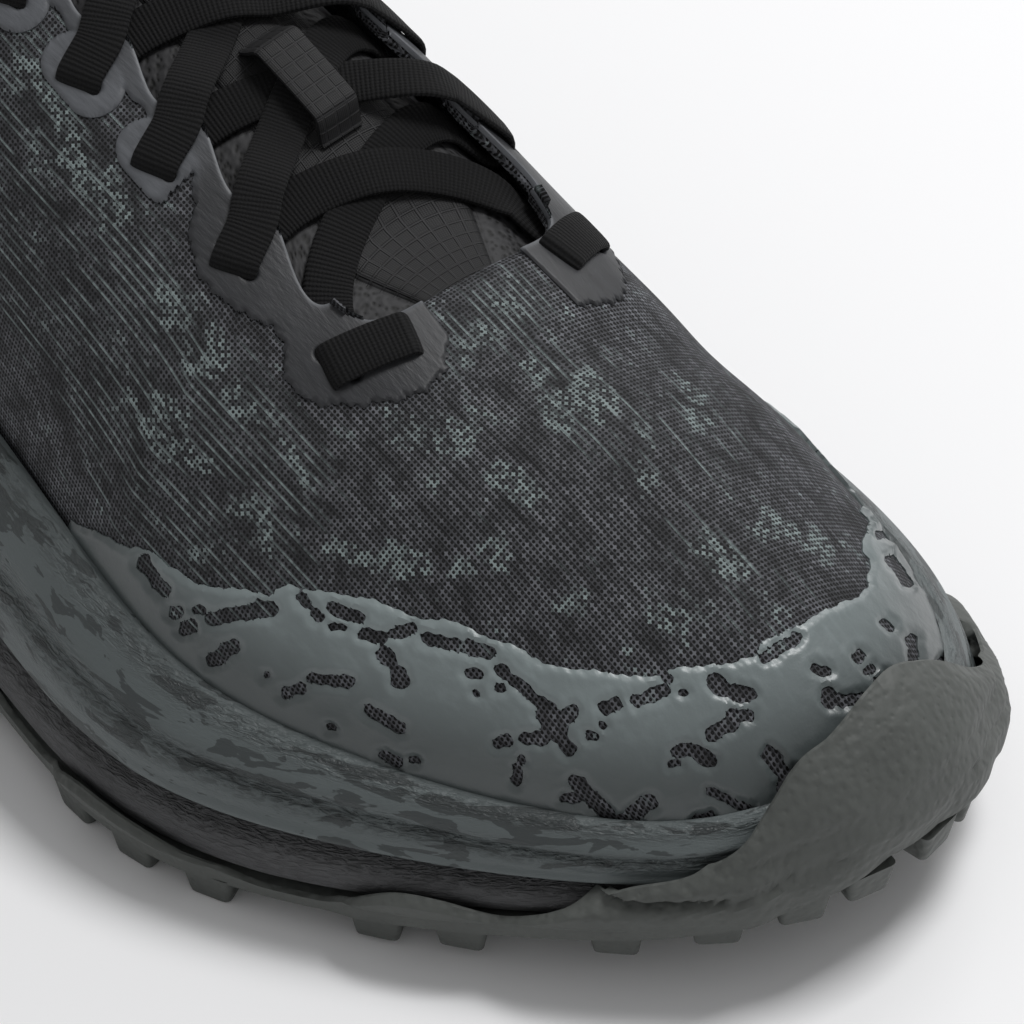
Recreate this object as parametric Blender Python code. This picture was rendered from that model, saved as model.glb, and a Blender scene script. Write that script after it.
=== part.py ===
"""Trail running shoe, right foot, standing empty and unbent on its lugs.

Modelled with the heel at X = 0, the toe towards +X, the outer (lateral) side towards -Y and +Z up, then
moved so that the origin is the bottom centre of its box. All lengths are in metres. A place around the
shoe is given in columns: 0 at the back of the heel, 12 at the toe and 24 back at the heel, by way of the
lateral side. Tables hold shares of the named sizes that their headings give.
"""

import bpy
import numpy as np

# Driving sizes
SHOE_LENGTH = 0.302
BALL_WIDTH = 0.113
SIDE_HEIGHT = 0.046
BED_HEIGHT = 0.031
RIM_WIDTH = 0.009
TOE_SPRING = 0.014
ARCH_RISE = 0.004
LEVEL_BAND = 0.0005
INSTEP_HEIGHT = 0.100
WALL_RISE = 0.030
UPPER_WALL = 0.0018
COLLAR_PADDING = 0.0055
GAP = 0.0003
TRAY_CLEARANCE = 0.0013
BUMPER_CLEARANCE = 0.0022
OVERLAY_LIFT = 0.0004

# Sole pieces
LUG_HEIGHT = 0.0045
PLATE_THICKNESS = 0.0020
RUBBER_SKIN = 0.0016
LIP_HEIGHT = 0.0005
LIP_SKIN = 0.0010
KNEE_HEIGHT = 0.0014
BUMPER_RISE = 0.020
SIDE_DEPTH = 0.0030
RIM_CREST = 0.0015
INSOLE_THICKNESS = 0.0040
EDGE_LUG_LENGTH = 0.0075
EDGE_LUG_DEPTH = 0.0105
CHEVRON_WIDTH = 0.020
CHEVRON_LENGTH = 0.010
LUG_DRAFT = 0.0007

# Overlays, tongue and laces
RAND_THICKNESS = 0.0009
STAY_THICKNESS = 0.0008
STAY_WIDTH = 0.017
TONGUE_THICKNESS = 0.0035
TONGUE_HEM = 0.0014
TONGUE_UNDERLAP = 0.009
TONGUE_TIP = 0.012
TONGUE_SPREAD = 1.15
TONGUE_CROWN = 1.00
TONGUE_FRONT = 0.006
TONGUE_FREE = 0.0112
TONGUE_NARROWING = 0.12
LACE_WIDTH = 0.0070
LACE_THICKNESS = 0.0012
LACE_TUCK = 1.24
SLOT_COUNT = 6
SLOT_FRONT_SETBACK = 0.0071
SLOT_BACK_SETBACK = 0.0175
TONGUE_BACK_SETBACK = 0.0055
SLOT_INSET = 0.0085
SLOT_LENGTH = 0.0080
SLOT_WIDTH = 0.0024
START_INSET = 0.0047
KEEPER_LENGTH = 0.0190
KEEPER_WIDTH = 0.0076
KEEPER_THICKNESS = 0.0010
LACE_REST = 0.0008
TONGUE_GAP = LACE_THICKNESS + LACE_REST + 3 * GAP

# First and last column of the throat on the lateral side, and the column of its back corner
THROAT_FIRST = 4.8
THROAT_LAST = 11.4
COLLAR_CORNER = 5

# Columns from the middle of the toe to the place where the lace's first bar goes in
START_COLUMN = 1.25

# Columns of points around the shoe, closer together at the toe by the drift
COLUMNS = 60
COLUMN_DRIFT = 0.2

SOLE_PLAN = (
    # along, lateral and medial side: shares of SHOE_LENGTH and BALL_WIDTH
    (0.000, 0.000, 0.000),
    (0.022, -0.235, 0.215),
    (0.085, -0.365, 0.345),
    (0.185, -0.410, 0.370),
    (0.300, -0.410, 0.335),
    (0.415, -0.430, 0.310),
    (0.530, -0.485, 0.325),
    (0.640, -0.540, 0.380),
    (0.745, -0.545, 0.427),
    (0.850, -0.412, 0.423),
    (0.935, -0.245, 0.345),
    (0.985, -0.080, 0.215),
    (1.000, 0.070, 0.070),
)
SOLE_HEIGHTS = (
    # along, spring of TOE_SPRING, arch of ARCH_RISE, seam and rim of SIDE_HEIGHT, bed of BED_HEIGHT,
    # ledge of RIM_WIDTH
    (0.00, 0.70, 0.0, 0.52, 1.00, 0.95, 0.60),
    (0.10, 0.06, 0.0, 0.49, 0.96, 0.98, 0.75),
    (0.30, 0.00, 0.0, 0.44, 0.90, 0.95, 0.95),
    (0.44, 0.00, 1.0, 0.42, 0.90, 0.91, 1.10),
    (0.52, 0.00, 0.9, 0.41, 0.90, 0.87, 1.10),
    (0.61, 0.00, 0.0, 0.39, 0.85, 0.82, 1.05),
    (0.70, 0.00, 0.0, 0.37, 0.74, 0.78, 1.02),
    (0.80, 0.04, 0.0, 0.355, 0.63, 0.74, 0.80),
    (0.90, 0.32, 0.0, 0.29, 0.49, 0.60, 0.52),
    (0.96, 0.62, 0.0, 0.23, 0.41, 0.47, 0.42),
    (1.00, 1.00, 0.0, 0.17, 0.37, 0.36, 0.38),
)
BASE_SIDE = (
    # height of the black layer, inset of SIDE_DEPTH
    (0.00, 1.10),
    (0.10, 0.10),
    (0.36, -0.50),
    (0.70, -0.40),
    (1.00, 0.55),
)
MIDSOLE_SIDE = (
    # height of the grey layer, inset of SIDE_DEPTH, share of the way in to the rim's crest
    (0.00, 0.55, 0.00),
    (0.05, 0.00, 0.00),
    (0.25, -0.15, 0.00),
    (0.42, 0.05, 0.05),
    (0.50, 0.25, 0.12),
    (0.60, 0.00, 0.22),
    (0.82, -0.05, 0.55),
    (1.00, 0.00, 1.00),
)
RUBBER_EDGE = (
    # column, height of the rubber's side wall of BUMPER_RISE
    (0.0, 0.45),
    (1.5, 0.33),
    (2.3, 0.24),
    (2.7, 0.00),
    (3.1, 0.00),
    (3.5, 0.21),
    (4.4, 0.21),
    (4.8, 0.00),
    (5.4, 0.00),
    (5.8, 0.15),
    (6.6, 0.16),
    (6.95, 0.00),
    (7.3, 0.00),
    (7.55, 0.18),
    (7.9, 0.18),
    (8.5, 0.00),
    (8.75, 0.00),
    (9.0, 0.22),
    (9.25, 0.20),
    (9.5, 0.08),
    (9.75, 0.18),
    (10.0, 0.33),
    (10.4, 0.38),
    (10.7, 0.55),
    (11.0, 0.84),
    (11.4, 0.92),
    (12.0, 1.00),
    (12.8, 0.96),
    (13.1, 0.86),
    (13.45, 0.60),
    (13.9, 0.40),
    (14.5, 0.26),
    (14.9, 0.00),
    (15.2, 0.00),
    (15.6, 0.22),
    (16.5, 0.22),
    (16.9, 0.00),
    (17.3, 0.00),
    (17.7, 0.15),
    (18.6, 0.15),
    (19.0, 0.00),
    (19.6, 0.00),
    (20.0, 0.21),
    (20.9, 0.21),
    (21.3, 0.00),
    (21.6, 0.00),
    (22.0, 0.24),
    (22.8, 0.33),
    (24.0, 0.45),
)
EDGE_LUGS = (
    # first column, last column, number of lugs
    (0.0, 0.0, 1),
    (0.9, 2.2, 4),
    (3.45, 4.5, 3),
    (5.75, 6.65, 3),
    (7.48, 8.25, 3),
    (8.95, 9.30, 2),
    (10.0, 11.6, 4),
    (12.35, 13.5, 3),
    (14.15, 14.65, 2),
    (15.55, 16.5, 4),
    (17.65, 18.6, 3),
    (19.95, 20.95, 3),
    (21.8, 23.1, 4),
)
CHEVRONS = (
    # along, pitch along, rows, middle of BALL_WIDTH, gap between the row's two lugs of CHEVRON_WIDTH,
    # direction of the point
    (0.110, 0.0600, 4, -0.015, 0.53, -1),
    (0.390, 0.0600, 3, -0.035, 0.08, -1),
    (0.605, 0.0560, 4, -0.042, 0.84, 1),
    (0.830, 0.0560, 2, 0.035, 0.53, 1),
)
UPPER_SECTIONS = (
    # column, then the throat or collar edge along, across and up, the rise and flare of the wall over
    # its foot, and the pull of the edge along, across and up: along of SHOE_LENGTH, across of BALL_WIDTH,
    # up of INSTEP_HEIGHT, rise and flare of WALL_RISE
    (0, 0.030, 0.000, 0.980, 0.90, 0.10, 0.030, 0.00, -0.30),
    (1, 0.036, -0.100, 0.970, 0.90, 0.10, 0.020, -0.01, -0.28),
    (2, 0.062, -0.200, 0.900, 0.85, 0.10, 0.008, -0.02, -0.26),
    (3, 0.120, -0.270, 0.790, 0.75, 0.08, 0.004, -0.04, -0.20),
    (4, 0.220, -0.285, 0.755, 0.75, 0.06, 0.008, -0.06, -0.18),
    (5, 0.360, -0.155, 0.985, 0.95, 0.05, 0.015, -0.14, -0.20),
    (6, 0.475, -0.110, 0.922, 0.95, 0.04, 0.020, -0.21, -0.13),
    (7, 0.590, -0.114, 0.810, 0.78, 0.03, 0.022, -0.23, -0.11),
    (8, 0.662, -0.128, 0.725, 0.67, 0.00, 0.038, -0.19, -0.10),
    (9, 0.697, -0.134, 0.686, 0.55, 0.00, 0.065, -0.14, -0.10),
    (10, 0.714, -0.102, 0.679, 0.52, 0.00, 0.115, -0.09, -0.105),
    (11, 0.719, -0.038, 0.685, 0.50, 0.00, 0.145, -0.04, -0.11),
    (12, 0.720, 0.035, 0.688, 0.50, 0.00, 0.155, 0.00, -0.11),
    (13, 0.721, 0.104, 0.682, 0.44, 0.00, 0.135, 0.02, -0.12),
    (14, 0.717, 0.166, 0.668, 0.39, 0.00, 0.100, 0.05, -0.125),
    (15, 0.699, 0.198, 0.672, 0.37, 0.00, 0.060, 0.065, -0.12),
    (16, 0.664, 0.200, 0.712, 0.44, 0.00, 0.030, 0.08, -0.11),
    (17, 0.592, 0.180, 0.812, 0.64, 0.00, 0.020, 0.10, -0.12),
    (18, 0.477, 0.170, 0.925, 0.90, 0.02, 0.020, 0.10, -0.16),
    (19, 0.360, 0.195, 0.985, 1.00, 0.04, 0.015, 0.09, -0.22),
    (20, 0.220, 0.280, 0.770, 0.75, 0.06, 0.008, 0.06, -0.18),
    (21, 0.120, 0.260, 0.800, 0.75, 0.08, 0.004, 0.04, -0.20),
    (22, 0.062, 0.190, 0.900, 0.85, 0.10, 0.008, 0.02, -0.26),
    (23, 0.036, 0.095, 0.970, 0.90, 0.10, 0.020, 0.01, -0.28),
)
UPPER_ROWS = (0.0, 0.08, 0.17, 0.27, 0.38, 0.50, 0.63, 0.76, 0.89, 1.0)
RAND_TOP = (
    # column, height up the wall
    (6.9, 0.17),
    (7.4, 0.28),
    (8.0, 0.33),
    (9.0, 0.42),
    (10.0, 0.43),
    (11.0, 0.42),
    (12.0, 0.41),
    (13.0, 0.42),
    (14.0, 0.46),
    (15.0, 0.40),
    (16.0, 0.32),
    (16.8, 0.17),
)
LATERAL_STAY = (
    # column, width of STAY_WIDTH
    (4.9, 0.45),
    (5.6, 0.70),
    (6.3, 0.66),
    (7.0, 0.80),
    (7.8, 0.78),
    (8.5, 0.84),
    (9.3, 0.78),
    (10.2, 0.82),
    (10.9, 0.70),
)
MEDIAL_STAY = (
    # column, width of STAY_WIDTH
    (13.1, 0.70),
    (13.9, 0.82),
    (14.8, 0.78),
    (15.6, 0.84),
    (16.3, 0.78),
    (17.1, 0.80),
    (17.8, 0.66),
    (18.5, 0.70),
    (19.1, 0.45),
)

OBJECT_NAME = "trail_running_shoe"
LATERAL, MEDIAL = -1, 1


def spline(values, at):
    """Closed cubic curve of even curvature through evenly spaced values, read at shares of the way round."""
    values = np.asarray(values, float)
    count = len(values)
    index = np.arange(count)
    matrix = np.zeros((count, count))
    matrix[index, index] = 4
    matrix[index, (index - 1) % count] = 1
    matrix[index, (index + 1) % count] = 1
    slope = np.linalg.solve(matrix, 3 * (np.roll(values, -1, 0) - np.roll(values, 1, 0)))
    place = np.mod(np.asarray(at, float), 1) * count
    left = np.floor(place).astype(int) % count
    right = (left + 1) % count
    t = (place - np.floor(place))[..., None]
    start = (1 + 2 * t) * (1 - t) ** 2 * values[left] + t * (1 - t) ** 2 * slope[left]
    return start + t**2 * (3 - 2 * t) * values[right] - t**2 * (1 - t) * slope[right]


def read(table, column, at):
    """Smooth reading of one column of a table over its first column."""
    rows = np.asarray(table, float)
    key, value = rows[:, 0], rows[:, column]
    slope = np.gradient(value, key)
    at = np.asarray(at, float)
    left = np.clip(np.searchsorted(key, at, side="right") - 1, 0, len(key) - 2)
    step = key[left + 1] - key[left]
    t = np.clip((at - key[left]) / step, 0, 1)
    start = (1 + 2 * t) * (1 - t) ** 2 * value[left] + t * (1 - t) ** 2 * step * slope[left]
    return start + t**2 * (3 - 2 * t) * value[left + 1] - t**2 * (1 - t) * step * slope[left + 1]


def straight(table, column, at):
    """Straight-line reading of one column of a table over its first column."""
    rows = np.asarray(table, float)
    return np.interp(at, rows[:, 0], rows[:, column])


def smooth(low, high, at):
    """Smooth step from 0 at low to 1 at high."""
    t = np.clip((np.asarray(at, float) - low) / (high - low), 0, 1)
    return t * t * (3 - 2 * t)


def unit(vectors):
    return vectors / np.linalg.norm(vectors, axis=-1, keepdims=True)


def stacked(across, height):
    """Points from their places in plan and their heights."""
    height = np.broadcast_to(height, across.shape[:-1])
    return np.concatenate([across, height[..., None]], -1)


# Sole lines


def outline():
    """The sole's widest line in plan, one point a column: out along the lateral side, back along the medial."""
    rows = np.array(SOLE_PLAN)
    return np.vstack([rows[:, [0, 1]], rows[-2:0:-1, [0, 2]]]) * [SHOE_LENGTH, BALL_WIDTH]


def inward(around):
    """Level direction into the shoe, square to the outline."""
    around = np.asarray(around, float)
    step = 1e-4
    way = unit(spline(outline(), around + step) - spline(outline(), around - step))
    return np.stack([-way[..., 1], way[..., 0]], -1)


def plan(around, inset=0.0):
    """Point of the outline, moved in by the inset."""
    around = np.asarray(around, float)
    return spline(outline(), around) + inward(around) * np.broadcast_to(inset, around.shape)[..., None]


def along(around):
    """Share of the shoe's length at a place around it."""
    return np.clip(spline(outline(), around)[..., 0] / SHOE_LENGTH, 0, 1)


def spring(share):
    return TOE_SPRING * read(SOLE_HEIGHTS, 1, share)


def tread(share):
    """Height of the lugs' tips: level ground under the heel and the ball."""
    return np.maximum(spring(share) + ARCH_RISE * read(SOLE_HEIGHTS, 2, share) - LEVEL_BAND, 0)


def plate_top(share):
    return tread(share) + LUG_HEIGHT + PLATE_THICKNESS


def seam(share):
    """Height of the seam between the black and the grey layer."""
    return spring(share) + SIDE_HEIGHT * read(SOLE_HEIGHTS, 3, share)


def rim(share):
    return spring(share) + SIDE_HEIGHT * read(SOLE_HEIGHTS, 4, share)


def bed(share):
    return spring(share) + BED_HEIGHT * read(SOLE_HEIGHTS, 5, share)


def ledge(share):
    """Distance from the outline in to the foot of the upper."""
    return RIM_WIDTH * read(SOLE_HEIGHTS, 6, share)


def bumper_recess(around):
    """How far the foam draws back under the toe bumper."""
    return RUBBER_SKIN * smooth(0.5, 0.85, straight(RUBBER_EDGE, 1, np.mod(around, 1) * 24))


# The upper's surface


def section(around):
    """Foot, wall pull, edge pull and edge of the upper's curve at a place around the shoe."""
    share = along(around)
    rows = spline(np.array(UPPER_SECTIONS)[:, 1:], around)
    foot = stacked(plan(around, ledge(share) + GAP), bed(share) + GAP)
    edge = rows[..., 0:3] * [SHOE_LENGTH, BALL_WIDTH, INSTEP_HEIGHT]
    out = stacked(-inward(around), 0.0)
    low = foot + WALL_RISE * (rows[..., 3:4] * [0, 0, 1] + rows[..., 4:5] * out)
    high = edge + rows[..., 5:8] * [SHOE_LENGTH, BALL_WIDTH, INSTEP_HEIGHT]
    return foot, low, high, edge


def wall_point(around, up):
    foot, low, high, edge = section(around)
    t = np.asarray(up, float)[..., None]
    return (1 - t) ** 3 * foot + 3 * t * (1 - t) ** 2 * low + 3 * t**2 * (1 - t) * high + t**3 * edge


def wall_normal(around, up):
    step = 1e-3
    around_way = wall_point(around + step, up) - wall_point(around - step, up)
    up_way = wall_point(around, np.minimum(up + step, 1)) - wall_point(around, np.maximum(up - step, 0))
    return unit(np.cross(around_way, up_way))


def upper(around, up, lift=0.0):
    """Point of the upper's outer face, moved out by the lift."""
    around, up = np.broadcast_arrays(np.asarray(around, float), np.asarray(up, float))
    lift = np.broadcast_to(lift, around.shape)[..., None]
    return wall_point(around, up) + wall_normal(around, up) * lift


def wall(around, up):
    """Thickness of the upper: a thin wall, padded around the collar and rounded off at its top."""
    column = np.mod(around, 1) * 24
    collar = 1 - smooth(3.8, 4.7, np.minimum(column, 24 - column))
    padding = smooth(0.45, 0.75, up) * (1 - 0.75 * smooth(0.86, 1.0, up))
    return UPPER_WALL + COLLAR_PADDING * collar * padding


def up_from_edge(around, distance):
    """Height up the wall that lies a distance in from the throat's edge."""
    _, _, high, edge = section(around)
    return 1 - distance / (3 * np.linalg.norm(edge - high, axis=-1))


def up_at_height(around, height):
    """Height up the wall, as a share, where the upper's outer face reaches a height over the floor."""
    steps = np.linspace(0, 0.6, 61)
    levels = wall_point(np.repeat(around[:, None], 61, 1), np.repeat(steps[None], len(around), 0))[..., 2]
    return np.array([np.interp(h, level, steps) for h, level in zip(height, levels)])


# The throat


def throat_around(x, side):
    """Place around the shoe where the throat's edge on one side lies at x."""
    steps = np.linspace(THROAT_FIRST, THROAT_LAST, 200) / 24
    steps = steps if side == LATERAL else 1 - steps
    return np.interp(x, section(steps)[3][:, 0], steps)


def throat_point(x, side, distance, lift):
    around = throat_around(x, side)
    return upper(around, up_from_edge(around, distance), lift)


def saddle(x, across):
    """Top of the tongue: a crowned bridge between the throat's edges at -1 and 1, and beyond them a sheet
    under the upper's wall, as far in from the edge as across passes 1, in shares of TONGUE_UNDERLAP."""
    x, across = np.broadcast_arrays(np.asarray(x, float), np.asarray(across, float))
    depth = -(UPPER_WALL + TONGUE_GAP)
    step = 0.001
    start = throat_point(x, LATERAL, 0.0, depth)
    end = throat_point(x, MEDIAL, 0.0, depth)
    pull = np.linalg.norm(end - start, axis=-1, keepdims=True) * TONGUE_CROWN
    start_way = unit(start - throat_point(x, LATERAL, step, depth)) * pull
    end_way = unit(throat_point(x, MEDIAL, step, depth) - end) * pull
    t = np.clip((across + 1) / 2, 0, 1)[..., None]
    bridge = (1 + 2 * t) * (1 - t) ** 2 * start + t * (1 - t) ** 2 * start_way
    bridge = bridge + t**2 * (3 - 2 * t) * end - t**2 * (1 - t) * end_way
    under = np.maximum(np.abs(across) - 1, 0) * TONGUE_UNDERLAP
    beyond = np.where((across < 0)[..., None], throat_point(x, LATERAL, under, depth),
                      throat_point(x, MEDIAL, under, depth))
    return np.where((np.abs(across) <= 1)[..., None], bridge, beyond)


# Meshes


def material(name, colour, roughness):
    made = bpy.data.materials.new(name)
    made.use_nodes = True
    shader = made.node_tree.nodes["Principled BSDF"]
    shader.inputs["Base Color"].default_value = (*colour, 1)
    shader.inputs["Roughness"].default_value = roughness
    shader.inputs["Metallic"].default_value = 0
    made.diffuse_color = (*colour, 1)
    return made


def add_object(name, points, faces, finish, group):
    """New object from points and faces, shaded smooth apart from its sharp edges."""
    mesh = bpy.data.meshes.new(name)
    mesh.from_pydata(np.asarray(points).tolist(), [], faces)
    mesh.materials.append(finish)
    mesh.shade_smooth()
    mesh.set_sharp_from_angle(angle=np.radians(40))
    made = bpy.data.objects.new(name, mesh)
    group.objects.link(made)
    return made


def quads(rows, columns, closed):
    """Faces of a grid of points, row after row."""
    row, column = np.meshgrid(np.arange(rows - 1), np.arange(columns - (not closed)), indexing="ij")
    first = row * columns + column
    second = row * columns + (column + 1) % columns
    return np.stack([first, second, second + columns, first + columns], -1).reshape(-1, 4)


def shell(outer, inner, closed=False):
    """Points and faces of a sheet between two grids of points, joined along their borders."""
    rows, columns = outer.shape[:2]
    count = rows * columns
    index = np.arange(count).reshape(rows, columns)
    face = quads(rows, columns, closed)
    parts = [face, face[:, ::-1] + count]
    ring = np.append(np.arange(columns), 0) if closed else np.arange(columns)
    first, last = index[0, ring], index[-1, ring]
    parts.append(np.stack([first[:-1] + count, first[1:] + count, first[1:], first[:-1]], -1))
    parts.append(np.stack([last[:-1], last[1:], last[1:] + count, last[:-1] + count], -1))
    if not closed:
        left, right = index[:, 0], index[:, -1]
        parts.append(np.stack([left[:-1], left[1:], left[1:] + count, left[:-1] + count], -1))
        parts.append(np.stack([right[:-1] + count, right[1:] + count, right[1:], right[:-1]], -1))
    points = np.concatenate([outer.reshape(-1, 3), inner.reshape(-1, 3)])
    return points, np.concatenate(parts).tolist()


def bridge_ring(ring, up):
    """Faces that close a ring with strips from its lateral to its medial side."""
    count = len(ring)
    faces = []
    for j in range(count // 2):
        strip = [ring[j], ring[j + 1], ring[count - j - 1], ring[(count - j) % count]]
        strip = list(dict.fromkeys(strip))
        faces.append(strip if up else strip[::-1])
    return faces


def loft(rings):
    """Points and faces of a body through closed rings, from its underside out, up and in to its top."""
    count, columns = rings.shape[:2]
    index = np.arange(count * columns).reshape(count, columns)
    faces = quads(count, columns, True).tolist()
    faces += bridge_ring(index[0].tolist(), False)
    faces += bridge_ring(index[-1].tolist(), True)
    return rings.reshape(-1, 3), faces


def slab(grid, low, high, closed=False):
    """Sheet over a grid of points, from one distance along its normals to another."""
    row_way = np.gradient(grid, axis=0)
    if closed:
        column_way = np.roll(grid, -1, 1) - np.roll(grid, 1, 1)
    else:
        column_way = np.gradient(grid, axis=1)
    normal = unit(np.cross(column_way, row_way))
    return shell(grid + normal * high, grid + normal * low, closed)


def join(parts):
    """Points and faces of several bodies in one mesh."""
    points, faces, start = [], [], 0
    for part_points, part_faces in parts:
        points.append(part_points)
        faces += [[corner + start for corner in face] for face in part_faces]
        start += len(part_points)
    return np.concatenate(points), faces


def boolean(target, other, operation):
    modifier = target.modifiers.new(operation.lower(), "BOOLEAN")
    modifier.object = other
    modifier.operation = operation
    modifier.solver = "EXACT"


# Sole pieces


def column_places():
    """Places of the columns around the shoe, closer together at the toe."""
    even = np.arange(COLUMNS) / COLUMNS
    return even + COLUMN_DRIFT * np.sin(2 * np.pi * even) / (2 * np.pi)


def places_between(first, last):
    """The columns' places between two ends, given in columns of 24, and the ends themselves."""
    first, last = first / 24, last / 24
    places = column_places()
    margin = 0.4 / COLUMNS
    inside = places[(places > first + margin) & (places < last - margin)]
    return np.concatenate([[first], inside, [last]])


def base_rings(around):
    """Rings up the side of the black layer."""
    share = along(around)
    low = plate_top(share) + GAP
    high = seam(share) - GAP
    recess = bumper_recess(around)
    rows = [stacked(plan(around, inset * SIDE_DEPTH + recess), low + height * (high - low))
            for height, inset in BASE_SIDE]
    return np.array(rows)


def midsole_rings(around):
    """Rings up the side of the grey layer to its rim."""
    share = along(around)
    low = seam(share)
    high = rim(share)
    top_inset = crest_inset(around) - RIM_CREST
    recess = bumper_recess(around)
    rows = []
    for height, inset, inwards in MIDSOLE_SIDE:
        depth = inset * SIDE_DEPTH + recess * (1 - inwards) + inwards * top_inset
        rows.append(stacked(plan(around, depth), low + height * (high - low)))
    return np.array(rows)


def crest_inset(around):
    """How far in from the outline the upper stands where it comes out of the midsole."""
    up = up_at_height(around, rim(along(around)))
    point = upper(around, up, GAP)
    return ((point[:, :2] - plan(around)) * inward(around)).sum(-1)


def midsole_points(around):
    """Grey layer: side, rim, then down the inside along the upper's own outer face to the foot bed."""
    crest = up_at_height(around, rim(along(around)))
    inside = [upper(around, crest * share, 2 * GAP) for share in (1.0, 0.67, 0.33)]
    floor = stacked(plan(around, ledge(along(around))), bed(along(around)))
    return np.concatenate([midsole_rings(around), np.array(inside), floor[None]])


def side_inset(around, heights):
    """Inset of the sole's whole side, black layer, grey layer and rand, at rows of heights."""
    lower, upper_side = base_rings(around), midsole_rings(around)
    crest = up_at_height(around, rim(along(around)))
    rand = [upper(around, crest + rise, RAND_THICKNESS + OVERLAY_LIFT) for rise in (0.02, 0.06, 0.10, 0.15, 0.20)]
    stack = np.concatenate([lower, upper_side, np.array(rand)])
    inset = ((stack[..., :2] - plan(around)) * inward(around)).sum(-1)
    return np.array([np.interp(heights[:, j], stack[:, j, 2], inset[:, j]) for j in range(len(around))]).T


def outsole_points(around):
    """Rubber tray: underside of the plate, side wall up to its scalloped edge, and down inside to the plate."""
    share = along(around)
    low = plate_top(share) - PLATE_THICKNESS
    floor = plate_top(share)
    rise = straight(RUBBER_EDGE, 1, np.mod(around, 1) * 24)
    top = floor + LIP_HEIGHT + BUMPER_RISE * rise
    skin = LIP_SKIN + (RUBBER_SKIN - LIP_SKIN) * smooth(0.0, 0.12, rise)
    rows = np.linspace(0, 1, 5)[:, None]
    heights = floor + (top - floor) * rows
    reach = (top - floor) * 0.125 * (1 - 0.7 * rows)
    knee = floor + KNEE_HEIGHT
    near = [side_inset(around, np.maximum(heights + shift * reach, knee)) for shift in (-1, -0.5, 0, 0.5, 1)]
    clearance = TRAY_CLEARANCE + (BUMPER_CLEARANCE - TRAY_CLEARANCE) * smooth(0.3, 0.6, rise)
    inside = np.min(near, 0) - clearance
    outside = inside - skin * np.where(rows < 1, 1, 0.6)
    rings = [stacked(plan(around, outside[0] + LUG_DRAFT), low)]
    rings += [stacked(plan(around, inset), height) for inset, height in zip(outside, heights)]
    rings += [stacked(plan(around, inset), height) for inset, height in zip(inside[::-1], heights[::-1])]
    return np.array(rings)


def prism(foot, tip):
    """Points and faces of a block between two loops, the foot above and the tip below."""
    count = len(foot)
    points = np.concatenate([tip, foot])
    sides = [[j, (j + 1) % count, (j + 1) % count + count, j + count] for j in range(count)]
    return points, sides + [list(range(count))[::-1], list(range(count, 2 * count))]


def edge_lug(around):
    """Lug at the sole's edge, square to the outline, drawn in towards its tip."""
    centre = plan(around, -0.5 * SIDE_DEPTH)
    into = inward(around)
    way = np.array([into[1], -into[0]])
    loops = []
    for draft in (0.0, LUG_DRAFT):
        half = EDGE_LUG_LENGTH / 2 - draft
        corners = [(-half, draft), (half, draft), (half * 0.8, EDGE_LUG_DEPTH - draft),
                   (-half * 0.8, EDGE_LUG_DEPTH - draft)]
        loops.append(np.array([centre + way * a + into * b for a, b in corners]))
    foot, tip = loops
    share = foot[:, 0] / SHOE_LENGTH
    root = stacked(foot, plate_top(share) - PLATE_THICKNESS / 2)
    level = stacked(tip, np.full(4, tread(np.mean(share))))
    return prism(root, level)


def chevron(x, y, point):
    """V-shaped lug in the middle of the sole."""
    half, reach, arm = CHEVRON_WIDTH / 2, CHEVRON_LENGTH * point, CHEVRON_LENGTH * 0.55 * point
    loops = []
    for draft in (0.0, LUG_DRAFT * point):
        loop = np.array([(-arm / 2 + draft, abs(draft) - half), (reach - arm / 2 - draft, 0.0),
                         (-arm / 2 + draft, half - abs(draft)), (-arm * 1.5 + draft, half - abs(draft)),
                         (reach - arm * 1.5 + draft, 0.0), (-arm * 1.5 + draft, abs(draft) - half)])
        loops.append((loop if point > 0 else loop[::-1]) + [x, y])
    foot, tip = loops
    share = foot[:, 0] / SHOE_LENGTH
    root = stacked(foot, plate_top(share) - PLATE_THICKNESS / 2)
    level = stacked(tip, np.full(len(tip), tread(np.mean(share))))
    return prism(root, level)


def lug_bodies():
    bodies = []
    for first, last, count in EDGE_LUGS:
        bodies += [edge_lug(column / 24) for column in np.linspace(first, last, count)]
    for start, pitch, rows, middle, gap, point in CHEVRONS:
        reach = CHEVRON_WIDTH * (1 + gap) / 2
        for row in range(rows):
            x = (start + pitch * row) * SHOE_LENGTH
            bodies += [chevron(x, middle * BALL_WIDTH + side * reach, point) for side in (LATERAL, MEDIAL)]
    return bodies


def insole_points(around):
    """Foot bed liner, inside the upper's wall."""
    share = along(around)
    low = bed(share) + GAP
    inset = ledge(share) + UPPER_WALL + 4 * GAP
    rows = [(0.0, 0.0), (0.7, 0.0), (1.0, 0.0012)]
    return np.array([stacked(plan(around, inset + more), low + height * INSOLE_THICKNESS)
                     for height, more in rows])


# Upper and its overlays


def upper_body():
    around, up = np.meshgrid(column_places(), UPPER_ROWS)
    return shell(upper(around, up), upper(around, up, -wall(around, up)), True)


def rand_body():
    """Toe rand: from the midsole's rim up to a line around the toe."""
    rows = np.array(RAND_TOP)
    around = places_between(rows[0, 0], rows[-1, 0])
    low = up_at_height(around, rim(along(around)) + GAP)
    high = np.maximum(read(RAND_TOP, 1, around * 24), low + 0.02)
    share = np.linspace(0, 1, 5)[:, None]
    up = low + (high - low) * share
    around = np.broadcast_to(around, up.shape)
    return shell(upper(around, up, OVERLAY_LIFT + RAND_THICKNESS), upper(around, up, OVERLAY_LIFT))


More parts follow.
